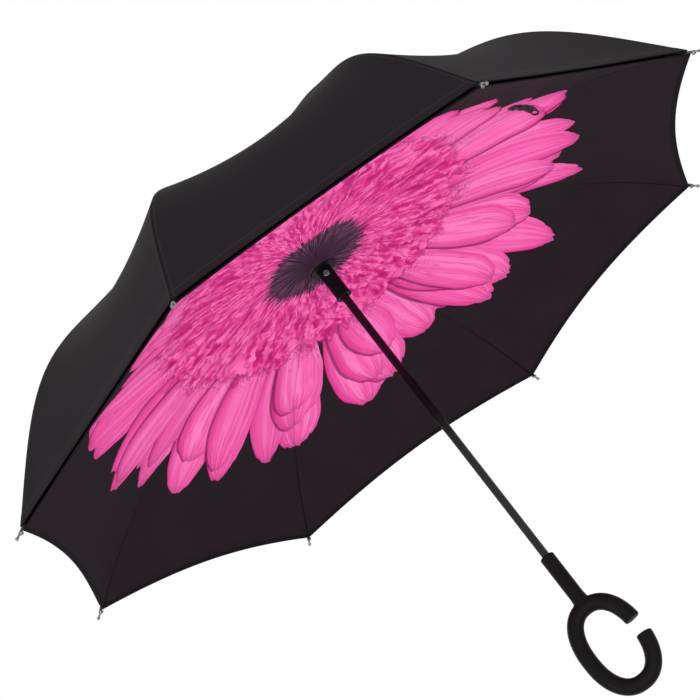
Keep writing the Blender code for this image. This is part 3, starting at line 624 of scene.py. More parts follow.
@dataclass(frozen=True)
class BlackCloth(Finish):
    """Taut black pongee of the outer layer."""

    base: Colour = colour(27, 22, 26)
    lit: Colour = colour(33, 28, 32)
    thread: Colour = colour(9, 8, 9)
    stitch: Colour = colour(70, 64, 68)

    def look(self, g: Graph) -> dict[str, object]:
        """Weave, seams, stitched hem and a satin sheen.

        Args:
            g: The material's graph.

        Returns:
            The shader's inputs by name.
        """
        flat = g.uv("flat")
        sewn = g.group(ClothEffect(), Flat=flat, Trim=g.uv("trim"))
        tone = g.over(
            g.mix(g.noise(flat, 14.0, 3.0), self.base, self.lit),
            (sewn["Weave"] * 0.25, self.thread),
            (sewn["Seam"] * 0.8, self.thread),
            (sewn["Stitch"] * 0.45, self.stitch),
        )
        return {
            "Base Color": tone,
            "Roughness": g.blend(sewn["Weave"], 0.66, 0.76),
            "Normal": g.bump(sewn["Height"], 0.0005, 0.6),
            "Specular IOR Level": 0.04,
        }


@dataclass(frozen=True)
class PetalRing:
    """Sizes of one printed ring of petals, in metres. Its fields are named as the effect's inputs."""

    count: int
    inner: float
    outer: float
    width: float
    seed: float
    shift: float
    stagger: float = 0.5
    uneven: float = 0.16


@dataclass(frozen=True)
class FrillBand:
    """One band of florets: its cells around and outwards, and the distance where it takes over."""

    around: float
    outward: float
    seed: float
    reach: float


@dataclass(frozen=True)
class PrintedCloth(Finish):
    """The inner layer: black cloth with a large pink flower printed round the shaft."""

    cloth: Colour = colour(38, 31, 36)
    thread: Colour = colour(14, 12, 14)
    pale: Colour = colour(247, 127, 192)
    bright: Colour = colour(252, 118, 186)
    mid: Colour = colour(231, 72, 156)
    deep: Colour = colour(208, 42, 128)
    under: Colour = colour(164, 24, 98)
    shade: Colour = colour(104, 30, 76)
    cast: Colour = colour(120, 24, 78)
    eye: Colour = colour(60, 36, 57)
    eye_deep: Colour = colour(38, 20, 36)
    hair: Colour = colour(176, 110, 156)
    rings: tuple[PetalRing, ...] = (
        PetalRing(16, 0.150, 0.400, 0.080, 3.0, 0.3),
        PetalRing(15, 0.150, 0.392, 0.081, 5.0, 0.8),
        PetalRing(14, 0.140, 0.386, 0.081, 8.0, 0.1),
        PetalRing(13, 0.140, 0.378, 0.080, 11.0, 0.55),
        PetalRing(12, 0.140, 0.366, 0.074, 14.0, 0.7),
    )
    petal_centre: tuple[float, float, float] = (-0.008, -0.018, 0)
    frills: tuple[FrillBand, ...] = (FrillBand(9.0, 30.0, 3.0, 0.0), FrillBand(13.0, 46.0, 9.0, 0.125))
    floret_centre: tuple[float, float, float] = (-0.004, -0.066, 0)
    floret_squeeze: tuple[float, float, float] = (1.12, 1, 1)
    floret_reach: float = 0.246
    floret_fray: float = 0.110
    specks_start: tuple[float, float] = (0.200, 0.230)
    specks_end: tuple[float, float] = (0.246, 0.288)
    eye_centre: tuple[float, float, float] = (-0.003, -0.038, 0)
    eye_radius: float = 0.074
    eye_fray: float = 0.056
    seams_show: tuple[float, float] = (0.36, 0.44)

    def petals(self, g: Graph, tone: Value, flat: Value) -> Value:
        """Lay the rings of long petals over the cloth's colour, the outermost first.

        Args:
            g: The material's graph.
            tone: Colour below the petals.
            flat: Place on the cloth.

        Returns:
            The colour with the petals on it.
        """
        distance, turn = g.polar(g.moved("SUBTRACT", flat, self.petal_centre))
        covered = None
        for ring in self.rings:
            sizes = {name.capitalize(): size for name, size in asdict(ring).items()}
            petal = g.group(PetalEffect(), Distance=distance, Turn=turn, **sizes)
            side = petal["Side"]
            along = petal["Along"]
            lane = petal["Chance"].scaled(37.0, side)
            veins = g.noise((lane * 3.4, along, ring.seed), 1.0, 2.0)
            fine = g.noise((lane * 15.0, along, 2.0), 1.0, 2.0)
            groove = fine.step(0.50, 0.66).scaled(0.40, veins.step(0.46, 0.62) * 0.60)
            turned_away = side.scaled(0.34, 0.46)
            creased = fine.step(0.44, 0.62).scaled(0.75, 0.15)
            body = g.over(
                g.mix(groove, self.pale, self.mid),
                (abs(veins - 0.5).fall(0.008, 0.030) * 0.45, self.deep),
                (petal["Chance"] * 0.42, self.mid),
                (abs(side).step(0.45, 0.98) * turned_away, self.deep),
                (abs(side).step(0.94, 1.0) * turned_away, self.shade),
                (along.step(0.78, 1.0) * creased, self.deep),
                (along.step(0.93, 1.0) * creased * 0.8, self.shade),
                (along.fall(0.05, 0.36) * 0.55, self.deep),
            )
            mask = petal["Mask"]
            if covered:
                tone = g.mix(petal["Shadow"] * covered * 0.8, tone, self.cast)
            tone = g.mix(mask, tone, body)
            covered = covered.larger(mask) if covered else mask
        return tone

    def florets(self, g: Graph, tone: Value, flat: Value) -> Value:
        """Lay the frilled florets over the long petals' feet, and loose specks round them.

        Args:
            g: The material's graph.
            tone: Colour below the florets.
            flat: Place on the cloth.

        Returns:
            The colour with the florets on it.
        """
        place = g.moved("MULTIPLY", g.moved("SUBTRACT", flat, self.floret_centre), self.floret_squeeze)
        distance, turn = g.polar(place)
        specks = g.cells(flat, 260.0)["Distance"].step(0.44, 0.22)
        specks *= distance.step(*self.specks_start) * distance.fall(*self.specks_end)
        specks *= g.noise(flat, 16.0, 2.0).step(0.36, 0.55)
        tone = g.mix(specks * 0.85, tone, self.shade)
        body = None
        for band in self.frills:
            frill = g.group(
                FrillEffect(),
                Flat=place,
                Distance=distance,
                Around=band.around,
                Outward=band.outward,
                Seed=band.seed,
            )
            lit = frill["Stroke"].step(0.44, 0.56) * frill["Tip"].scaled(0.5, 0.5)
            dark = (frill["Edge"] * 0.45).larger(frill["Stroke"].fall(0.34, 0.46))
            piece = g.over(
                g.mix(lit, self.deep, self.bright),
                (frill["Chance"] * 0.6, self.mid),
                (dark * 0.85, self.under),
            )
            body = g.mix(distance.step(band.reach + 0.02, band.reach), body, piece) if body else piece
        wavy = g.noise((turn * 58.0, distance * 16.0, 0.0), 1.0, 3.0)
        limit = (wavy - 0.5).scaled(self.floret_fray, self.floret_reach)
        shade = distance.fall(limit, limit + 0.012)
        return g.over(tone, (shade * 0.6, self.under), (distance.fall(limit - 0.002, limit), body))

    def middle(self, g: Graph, tone: Value, flat: Value) -> Value:
        """Lay the flower's dark, hairy eye over its florets.

        Args:
            g: The material's graph.
            tone: Colour below the eye.
            flat: Place on the cloth.

        Returns:
            The colour with the eye on it.
        """
        distance, turn = g.polar(g.moved("SUBTRACT", flat, self.eye_centre))
        hairs = g.noise((turn * 250.0, distance * 20.0, 4.0), 1.0, 1.0)
        limit = (hairs - 0.5).scaled(self.eye_fray, self.eye_radius)
        fine = g.noise((turn * 420.0, distance * 30.0, 8.0), 1.0, 1.0)
        clumps = g.noise((turn * 60.0, distance * 30.0, 2.0), 1.0, 2.0)
        eye = g.over(
            self.eye,
            (fine.step(0.48, 0.64) * distance.step(0.010, 0.080) * 0.8, self.hair),
            (clumps.step(0.50, 0.62) * 0.7, self.eye_deep),
            (g.noise(flat, 300.0, 2.0) * 0.5, self.eye_deep),
        )
        return g.mix(distance.fall(limit, limit + 0.003), tone, eye)

    def look(self, g: Graph) -> dict[str, object]:
        """The print over the cloth, then seams, weave and painted shade along the hem over the print.

        Args:
            g: The material's graph.

        Returns:
            The shader's inputs by name.
        """
        flat = g.uv("flat")
        tone = g.mix(g.noise(flat, 14.0, 3.0) * 0.5, self.cloth, self.thread)
        for motif in (self.petals, self.florets, self.middle):
            tone = motif(g, tone, flat)
        sewn = g.group(ClothEffect(), Flat=flat, Trim=g.uv("trim"))
        from_shaft, _ = g.polar(flat)
        seam_share = g.blend(from_shaft.step(*self.seams_show), 0.25, 0.9)
        tone = g.over(
            tone,
            (sewn["Weave"] * 0.10, self.thread),
            (sewn["Seam"] * seam_share, self.thread),
            # Painted shade: the cloth darkens towards the thread colour along the hem.
            (sewn["Hem"] * 0.6, self.thread),
        )
        return {
            "Base Color": tone,
            "Roughness": g.blend(sewn["Weave"], 0.62, 0.72),
            "Normal": g.bump(sewn["Height"], 0.0005, 0.5),
            "Specular IOR Level": 0.02,
        }


@dataclass(frozen=True)
class Tape(Finish):
    """Ribbed black webbing of the closing strap."""

    base: Colour = colour(14, 11, 13)
    lit: Colour = colour(34, 30, 33)
    thread: Colour = colour(122, 116, 120)
    half_width: float = 0.0050
    rib: float = 0.0011
    stitch: float = 0.0024
    inset: float = 0.0016
    sewn_end: float = 0.010

    def look(self, g: Graph) -> dict[str, object]:
        """Fine ribs across the tape with painted light on their crests, two stitched lines and the bar
        of stitches that holds it.

        Args:
            g: The material's graph.

        Returns:
            The shader's inputs by name.
        """
        along, across, _ = g.uv("flat").parts()
        rib = along.wave(self.rib).scaled(0.5, 0.5)
        from_edge = self.half_width - abs(across)
        dashes = along.wave(self.stitch).step(-0.4, -0.1)
        bar = abs(along - self.sewn_end).fall(0.0002, 0.0004) * from_edge.step(0.0014, 0.0018)
        sewn = (abs(from_edge - self.inset).fall(0.0002, 0.0004) * dashes).larger(bar)
        # Painted light: the ribs' crests take the lighter lit colour and the grooves between them the
        # darker base; the ribs' bump is real.
        tone = g.mix(rib * 0.6, self.base, self.lit)
        height = rib + from_edge.step(0.0012, 0.0006) + sewn * 0.8
        return {
            "Base Color": g.mix(sewn * 0.8, tone, self.thread),
            "Roughness": g.blend(rib, 0.62, 0.74),
            "Normal": g.bump(height, 0.00025, 0.7),
            "Specular IOR Level": 0.12,
        }


FINISHES: dict[Slot, Finish] = {
    finish.slot: finish
    for finish in (
        SoftGrip(Slot.GRIP),
        HardFinish(Slot.SHAFT, colour(12, 10, 12), colour(18, 16, 18), (0.12, 0.22), specular=0.32),
        HardFinish(Slot.MOULDED, colour(16, 14, 16), colour(26, 24, 26), (0.42, 0.54), specular=0.06),
        HardFinish(Slot.WIRE, colour(190, 188, 186), colour(150, 148, 146), (0.20, 0.32), metal=1.0),
        HardFinish(Slot.TIP, colour(116, 114, 112), colour(92, 90, 88), (0.24, 0.36), metal=1.0),
        HardFinish(Slot.RIB, colour(40, 38, 41), colour(92, 90, 92), (0.28, 0.42), metal=0.3),
        HardFinish(Slot.BUTTON, colour(150, 148, 152), colour(120, 118, 122), (0.24, 0.34), metal=0.8),
        BlackCloth(Slot.OUTER_CLOTH),
        PrintedCloth(Slot.INNER_CLOTH),
        Tape(Slot.TAPE),
    )
}


class Assembly:
    """What the sub-assemblies share: finished pieces on their bodies."""

    def piece(
        self,
        name: str,
        shape: bmesh.types.BMesh,
        slot: Slot,
        body: str | None,
        stands_for: tuple[str, ...] = (),
        sharp: float = 35.0,
    ) -> bpy.types.Object:
        """Make an object of a finished bmesh, dress it and put it on its body.

        Args:
            name: The object's name.
            shape: The finished mesh, which is freed.
            slot: The material slot of its finish.
            body: The body it rides, or None where it is put on one later or rides none.
            stands_for: CAD nodes that it replaces.
            sharp: Angle, in degrees, past which an edge is shaded sharp.

        Returns:
            The new object.
        """
        mesh = bpy.data.meshes.new(name)
        shape.to_mesh(mesh)
        shape.free()
        mesh.materials.append(FINISHES[slot].material())
        mesh.shade_smooth()
        if sharp:
            mesh.set_sharp_from_angle(angle=math.radians(sharp))
        made = placed(name, mesh)
        if body:
            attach(made, body)
        if stands_for:
            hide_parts(*stands_for)
        LOG.info("piece %s", name)
        return made

    def turned(self, profile: list[tuple[float, float]], steps: int = 64) -> bmesh.types.BMesh:
        """A closed profile spun once round the Z axis.

        Args:
            profile: Points as (radius, height).
            steps: Sides of the turned shape.

        Returns:
            The closed mesh.
        """
        shape = bmesh.new()
        points = [shape.verts.new((radius, 0, height)) for radius, height in profile]
        pairs = zip(points, points[1:] + points[:1])
        edges = [shape.edges.new(pair) for pair in pairs if max(end.co.x for end in pair) > 0]
        bmesh.ops.spin(
            shape,
            geom=points + edges,
            cent=(0, 0, 0),
            axis=(0, 0, 1),
            angle=FULL_TURN,
            steps=steps,
            use_merge=True,
        )
        bmesh.ops.remove_doubles(shape, verts=shape.verts, dist=MERGE_DISTANCE)
        bmesh.ops.recalc_face_normals(shape, faces=shape.faces)
        return shape

    def settled(self, made: bpy.types.Object) -> bpy.types.Mesh:
        """A new mesh of the object as its curve or modifiers leave it.

        Args:
            made: The object.

        Returns:
            The mesh.
        """
        bpy.context.view_layer.update()
        graph = bpy.context.evaluated_depsgraph_get()
        return bpy.data.meshes.new_from_object(made.evaluated_get(graph))

    def soften(self, made: bpy.types.Object, width: float) -> None:
        """Round a piece's sharp edges with a live bevel.

        Args:
            made: The piece.
            width: Width of the bevel, in metres.
        """
        bevel = made.modifiers.new("edges", "BEVEL")
        bevel.width = width
        bevel.segments = 2
        bevel.limit_method = "ANGLE"
        bevel.angle_limit = math.radians(35)
        bevel.harden_normals = True

    def dress_node(self, name: str, slot: Slot, edge: float = 0.0) -> None:
        """Give a CAD node its finish, and round its edges if a width is given.

        Args:
            name: The node's name.
            slot: Its material slot.
            edge: Width of the bevel, in metres.
        """
        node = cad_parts[name]
        for place in node.material_slots:
            place.material = FINISHES[slot].material()
        if edge:
            weld = node.modifiers.new("weld", "WELD")
            weld.merge_threshold = MERGE_DISTANCE
            self.soften(node, edge)
        LOG.info("node %s", name)


class Layer(Enum):
    """The two layers of cloth."""

    INNER = "inner"
    OUTER = "outer"


@dataclass(frozen=True)
class Band:
    """One ring of a layer, cut into a panel for each rib: its edges and what it rides."""

    name: str
    start: float
    end: float | None
    body: str
    keep: float
    rows: int


@dataclass
class ClothLayer(Assembly):
    """One layer of the canopy, in panels centred on the ribs and split down each gore's middle."""

    layer: Layer
    node: str
    slot: Slot
    rim_height: float
    rise: float
    power: float
    hole: float
    hub_end: float
    hub_body: str
    arm_body: str
    bands: tuple[Band, ...]
    hidden_side: float
    rim_radius: float = 0.520
    scallop: float = 0.030
    seat: float = 0.022
    elbow: float = 0.260
    sag: float = 0.0035
    hem_drop: float = 0.0
    shoulder: float = 0.0
    elbow_bow: float = 0.0
    thickness: float = 0.0008
    hem_thickness: float = 0.0015
    hem_rows: tuple[float, ...] = (0.010, 0.0085, 0.004, 0.0005, 0.0)
    hem_fold: float = 0.0088
    far_from_hem: float = 0.1
    side_columns: int = 26
    seam_columns: tuple[float, ...] = (0.0, 0.0012, 0.0026, 0.0042)
    seam_share: float = 0.35
    hub_rows: int = 6
    tuck: float = 0.004
    tuck_gap: float = 0.0003
    tuck_rise: float = 0.0013
    least_length: float = 0.012
    cut_margin: float = 1.02
    least_area: float = 0.31

    def height(self, rib_radius: float) -> float:
        """Height of the layer on a rib.

        Args:
            rib_radius: Distance from the shaft along the rib.

        Returns:
            The height in the frame.
        """
        share = rib_radius / self.rim_radius
        outer_half = min(1.0, max(0.0, 2 * share - 1))
        swell = self.shoulder * math.sin(math.pi * outer_half) ** 2
        return self.rim_height + self.rise * (1 - share**self.power) + swell

    def on_rib(self, x: float, y: float) -> tuple[float, float]:
        """Where a point of the plan lies between the ribs.

        Args:
            x: Distance along the rib.
            y: Distance beside it.

        Returns:
            The distance from the shaft on the rib at the same height, and the place between
            two ribs, from 0 in the middle of the gore to 1 on the rib.
        """
        distance = math.hypot(x, y)
        within = 1 - abs(math.atan2(y, x)) / HALF_GORE
        chord = math.cos(HALF_GORE) / math.cos(within * HALF_GORE)
        found = distance
        for _ in range(FIT_ROUNDS):
            flatness = min(1.0, max(0.0, found - self.seat) / (self.elbow - self.seat))
            found = distance / (1 + (chord - 1) * flatness)
        return found, within

    def surface(self, x: float, y: float) -> float:
        """Height of the cloth at a point of the plan.

        Args:
            x: Distance along the rib.
            y: Distance beside it.

        Returns:
            The height in the frame.
        """
        rib_radius, within = self.on_rib(x, y)
        share = max(0.0, rib_radius - self.seat) / (self.rim_radius - self.seat)
        drop = self.sag * math.sin(math.pi * min(1.0, share)) + self.hem_drop * share
        return self.height(rib_radius) - drop * (1 - within * within)

    def columns(self, x: float) -> list[float]:
        """Places across a panel at a distance along its rib: close by the seam, then even.

        Args:
            x: Distance along the rib.

        Returns:
            The places, from one border to the other.
        """
        edge = x * math.tan(HALF_GORE)
        scale = min(1.0, self.seam_share * edge / self.seam_columns[-1])
        half = [scale * place for place in self.seam_columns]
        near = half[-1]
        half += [near + (edge - near) * (i + 1) / self.side_columns for i in range(self.side_columns)]
        return [-place for place in reversed(half[1:])] + half

    def hem_point(self, start: Vector, through: Vector) -> Vector:
        """Where a column of the last band meets the curved hem.

        Args:
            start: The column's inner end.
            through: A point further out on the column.

        Returns:
            The point on the hem, in the rib's plan.
        """
        low = 0.5
        high = 1.4
        for _ in range(SEARCH_ROUNDS):
            share = (low + high) / 2
            spot = start.lerp(through, share)
            rib_radius, within = self.on_rib(spot.x, spot.y)
            limit = self.rim_radius * (1 - self.scallop * (1 - within * within))
            if rib_radius < limit:
                low = share
            else:
                high = share
        return start.lerp(through, (low + high) / 2)

    def border(self, x: float) -> list[Vector]:
        """The columns' ends on a band's edge, which bows outwards between the ribs at the elbow.

        Args:
            x: Distance of the edge along the rib.

        Returns:
            The ends in the rib's plan.
        """
        bow = self.elbow_bow if x == self.elbow else 0.0
        edge = x * math.tan(HALF_GORE)
        ends = []
        for index, y in enumerate(self.columns(x)):
            far = x + bow * (y / edge) ** 2
            ends.append(Vector((far, self.columns(far)[index])))
        return ends

    def borders(self, band: Band | None) -> tuple[list[Vector], list[Vector]]:
        """Ends of each column of a band, or of the hub's ring where no band is given.

        Args:
            band: The band, or None for the hub's ring.

        Returns:
            The inner ends and the outer ends.
        """
        if band is None:
            outer = self.border(self.hub_end)
            return [point.normalized() * self.hole for point in outer], outer
        inner = self.border(band.start)
        if band.end is not None:
            return inner, self.border(band.end)
        return inner, [self.hem_point(a, b) for a, b in zip(inner, self.border(self.rim_radius))]

    def row_shares(self, band: Band | None, length: float) -> list[tuple[float, float]]:
        """Rows of a band.

        Args:
            band: The band, or None for the hub's ring.
            length: Length of the column that the rows cross.

        Returns:
            Each row's share of the length, and its lift towards the layer's hidden side.
        """
        if band is None:
            return [(i / self.hub_rows, 0.0) for i in range(self.hub_rows + 1)]
        rows = []
        if band.start >= self.elbow:
            rows = [(-gap / length, self.tuck_rise) for gap in (self.tuck, self.tuck_gap)]
        if band.end is not None:
            return rows + [(i / band.rows, 0.0) for i in range(band.rows + 1)]
        last = 1 - self.hem_rows[0] / length
        rows += [(last * i / band.rows, 0.0) for i in range(band.rows)]
        return rows + [(1 - gap / length, 0.0) for gap in self.hem_rows]

    def draped(
        self, band: Band | None, inner: list[Vector], outer: list[Vector], turn: Matrix
    ) -> tuple[bmesh.types.BMesh, dict[int, tuple[float, float]]]:
        """An even grid laid over a panel's place, with its UV maps.

        Args:
            band: The band, or None for the hub's ring.
            inner: Starts of the columns in the rib's plan.
            outer: Ends of the columns.
            turn: The rib's turn round the shaft.

        Returns:
            The mesh, and each vertex's place beside the seam and distance from the hem.
        """
        columns = len(inner) - 1
        rows = len(self.row_shares(band, 1.0)) - 1
        shape = bmesh.new()
        bmesh.ops.create_grid(shape, x_segments=columns, y_segments=rows, size=1)
        flat = shape.loops.layers.uv.new("flat")
        trim = shape.loops.layers.uv.new("trim")
        trims = {}
        for vertex in shape.verts:
            column = round((vertex.co.x + 1) / 2 * columns)
            row = round((vertex.co.y + 1) / 2 * rows)
            length = (outer[column] - inner[column]).length
            share, lift = self.row_shares(band, length)[row]
            spot = inner[column].lerp(outer[column], share)
            height = self.surface(spot.x, spot.y) + lift * self.hidden_side
            from_hem = length * (1 - share) if band and band.end is None else self.far_from_hem
            trims[vertex.index] = (spot.y, from_hem)
            vertex.co = turn @ Vector((spot.x, spot.y, height))
        for face in shape.faces:
            for loop in face.loops:
                loop[flat].uv = loop.vert.co.xy
                loop[trim].uv = trims[loop.vert.index]
        bmesh.ops.recalc_face_normals(shape, faces=shape.faces)
        return shape, trims

    def fold(self, made: bpy.types.Object, turn: Matrix, start: float, keep: float) -> None:
        """Give a piece its own copy of its mesh; the anchor of its fold is worked out but not used.

        Args:
            made: The piece.
            turn: Its rib's turn round the shaft.
            start: Distance along the rib of the fold's anchor.
            keep: Share of its width that is left; not used.
        """
        anchor = turn @ Vector((1, 0, 0)) * start + Vector((0, 0, self.height(start)))
        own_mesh(made)

    def panel(self, number: int, band: Band | None) -> None:
        """One panel of cloth at a rib, on its body, or on none for the ring at the hub.

        Args:
            number: The rib, from 0.
            band: The ring it belongs to, or None for the ring at the hub.
        """
        turn = rib_turn(number)
        inner, outer = self.borders(band)
        shape, trims = self.draped(band, inner, outer, turn)
        area = sum(face.calc_area() for face in shape.faces)
        name = f"{self.layer.value}_{band.name if band else 'hub'}_{number + 1}"
        made = self.piece(name, shape, self.slot, None, (self.node,), 40)
        self.thicken(made, trims)
        resting = f"{band.body if band else self.arm_body}_{number + 1}"
        if band is None:
            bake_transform(made)
        else:
            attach(made, resting)
            self.fold(made, turn, band.start, band.keep)
        wide = 2 * abs(outer[0].y)
        deep = max((b - a).length for a, b in zip(inner, outer)) + self.tuck
        cut = max(wide * deep, area * self.cut_margin)
        cut / max(deep, self.least_length)
        max(area, self.least_area * cut)

    def thicken(self, made: bpy.types.Object, trims: dict[int, tuple[float, float]]) -> None:
        """Give a panel its cloth thickness, doubled along the hem, and sharp borders.

        Args:
            made: The panel.
            trims: Each vertex's place beside the seam and distance from the hem.
        """
        thick = made.vertex_groups.new(name="doubled")
        for index, (_, from_hem) in trims.items():
            thick.add([index], 1.0 if from_hem < self.hem_fold else 0.0, "REPLACE")
        solid = made.modifiers.new("cloth_thickness", "SOLIDIFY")
        solid.thickness = self.hem_thickness
        solid.offset = 0
        solid.vertex_group = "doubled"
        solid.thickness_vertex_group = self.thickness / self.hem_thickness
        uses = [0] * len(made.data.edges)
        for loop in made.data.loops:
            uses[loop.edge_index] += 1
        for edge, count in zip(made.data.edges, uses):
            if count < 2:
                edge.use_edge_sharp = True

    def build(self) -> None:
        """Make every panel of the layer."""
        for number in range(GORES):
            for band in (None, *self.bands):
                self.panel(number, band)


@dataclass
class Canopy(Assembly):
    """Both layers of cloth."""

    layers: tuple[ClothLayer, ...] = field(
        default_factory=lambda: (
            ClothLayer(
                layer=Layer.INNER,
                node="inner_canopy",
                slot=Slot.INNER_CLOTH,
                rim_height=0.472,
                rise=0.130,
                power=2.9,
                hole=0.0080,
                hub_end=0.034,
                hub_body="runner",
                arm_body="lower_arm",
                bands=(
                    Band("near", 0.034, 0.080, "lower_arm", 0.42, 6),
                    Band("arm", 0.080, 0.260, "lower_arm", 0.25, 22),
                    Band("rib", 0.260, None, "lower_rib", 0.22, 30),
                ),
                hidden_side=1.0,
            ),
            ClothLayer(
                layer=Layer.OUTER,
                node="outer_canopy",
                slot=Slot.OUTER_CLOTH,
                rim_height=0.478,
                rise=0.257,
                power=2.87,
                hole=0.0048,
                hub_end=0.032,
                hub_body="root",
                arm_body="upper_arm",
                bands=(
                    Band("near", 0.032, 0.080, "upper_arm", 0.44, 6),
                    Band("arm", 0.080, 0.260, "upper_arm", 0.22, 22),
                    Band("rib", 0.260, None, "upper_rib", 0.19, 30),
                ),
                hidden_side=-1.0,
                sag=0.014,
                hem_drop=0.012,
                shoulder=0.0162,
                elbow_bow=0.030,
            ),
        )
    )

    def build(self) -> None:
        """Make both layers."""
        for layer in self.layers:
            layer.build()


@dataclass
class Handle(Assembly):
    """The open loop with its neck, one soft-touch moulding."""

    half_height: float = 0.0557
    half_width: float = 0.0357
    tube: float = 0.0103
    power: float = 2.25
    mouth: float = 0.020
    chamfer: float = 0.0018
    neck: float = 0.0094
    neck_top: float = 0.133
    neck_edge: float = 0.0012
    flare: float = 0.020
    flare_past: float = 0.0022
    flare_steps: int = 8
    steps: int = 160
    neck_sides: int = 48
    voxel: float = 0.0008
    smoothing: int = 6

    def centreline(self) -> list[Vector]:
        """Points of the loop, from one side of its mouth round to the other.

        Returns:
            The points in the plane of the loop.
        """
        first = math.asin((self.mouth / 2 / self.half_height) ** (self.power / 2))
        span = FULL_TURN - 2 * first
        points = []
        for i in range(self.steps + 1):
            turn = first + span * i / self.steps
            across = math.copysign(abs(math.cos(turn)) ** (2 / self.power), math.cos(turn))
            along = math.copysign(abs(math.sin(turn)) ** (2 / self.power), math.sin(turn))
            points.append(Vector((self.half_width * across, 0, self.half_height * along)))
        return points

    def rounded(self, line: list[tuple[Vector, float]]) -> list[tuple[Vector, float]]:
        """A line of (point, width share) whose first end is drawn in to a rounded edge.

        Args:
            line: The loop's points with their shares of the full width.

        Returns:
            The line with its new first points.
        """
        end = line[0][0]
        along = (line[1][0] - end).normalized() * self.chamfer
        drawn = []
        for share in (0.0, 0.1, 0.35, 0.7, 1.0):
            inset = self.chamfer * (1 - math.sqrt(1 - (1 - share) ** 2))
            drawn.append((end + along * share, 1 - inset / self.tube))
        return drawn + line[1:]

    def loop(self) -> bpy.types.Object:
        """The loop as a bevelled curve with closed, rounded ends.

        Returns:
            The curve's object, which is only used to make the mesh.
        """
        line = self.rounded([(point, 1.0) for point in self.centreline()])
        line = self.rounded(line[::-1])
        curve = bpy.data.curves.new("loop", "CURVE")
        curve.dimensions = "3D"
        curve.bevel_depth = self.tube
        curve.bevel_resolution = 10
        curve.use_fill_caps = True
        spline = curve.splines.new("POLY")
        spline.points.add(len(line) - 1)
        for knot, (point, share) in zip(spline.points, line):
            knot.co = (*point, 1)
            knot.radius = share
        return placed("loop", curve)

    def neck_profile(self) -> list[tuple[float, float]]:
        """Half a section of the neck, which widens towards the loop.

        Returns:
            Points as (radius, height).
        """
        profile = [
            (0, self.neck_top),
            (self.neck - self.neck_edge, self.neck_top),
            (self.neck, self.neck_top - self.neck_edge),
        ]
        for i in range(self.flare_steps + 1):
            share = i / self.flare_steps
            wide = self.neck + (self.tube - self.neck + self.flare_past) * share**2
            profile.append((wide, self.half_height + self.flare * (1 - share)))
        return [*profile, (0, self.half_height)]

    def build(self) -> None:
        """Join the loop and the neck into one smooth moulding."""
        holder = self.loop()
        shape = bmesh.new()
        shape.from_mesh(self.settled(holder))
        bpy.data.objects.remove(holder)
        turned = self.turned(self.neck_profile(), self.neck_sides)
        neck = bpy.data.meshes.new("neck")
        turned.to_mesh(neck)
        turned.free()
        shape.from_mesh(neck)
        made = self.piece("handle_moulding", shape, Slot.GRIP, None, (), 0)
        remesh = made.modifiers.new("one_moulding", "REMESH")
        remesh.mode = "VOXEL"
        remesh.voxel_size = self.voxel
        remesh.use_smooth_shade = True
        even = made.modifiers.new("even", "SMOOTH")
        even.factor = 0.5
        even.iterations = self.smoothing
        final = self.settled(made)
        made.modifiers.clear()
        made.data = final
        final.materials.clear()
        final.materials.append(FINISHES[Slot.GRIP].material())
        final.shade_smooth()
        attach(made, "root")
        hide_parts("c_handle")


@dataclass
class Shaft(Assembly):
    """The glossy steel tube, and the crown and cap on its top."""

    radius: float = 0.0052
    wall: float = 0.0008
    low: float = 0.0853
    high: float = 0.7290

    def build(self) -> None:
        """Turn the tube and dress what the shaft carries."""
        inside = self.radius - self.wall
        profile = [
            (inside, self.low),
            (self.radius, self.low),
            (self.radius, self.high),
            (inside, self.high),
        ]
        tube = self.piece("steel_tube", self.turned(profile), Slot.SHAFT, "root", ("shaft_tube",))
        self.soften(tube, 0.0003)
        self.dress_node("crown", Slot.MOULDED, 0.0003)
        self.dress_node("top_cap", Slot.MOULDED, 0.0004)
        self.dress_node("canopy_washer", Slot.MOULDED, 0.0002)
        self.dress_node("crown_wire", Slot.WIRE)


@dataclass
class Runner(Assembly):
    """The sliding collar with its button, spring, wire and rosette."""

    def build(self) -> None:
        """Dress the runner's nodes."""
        self.dress_node("runner", Slot.MOULDED, 0.0003)
        self.dress_node("runner_wire", Slot.WIRE)
        self.dress_node("runner_rosette", Slot.MOULDED, 0.0002)
        self.dress_node("release_button", Slot.BUTTON, 0.0003)
        self.dress_node("button_spring", Slot.WIRE)


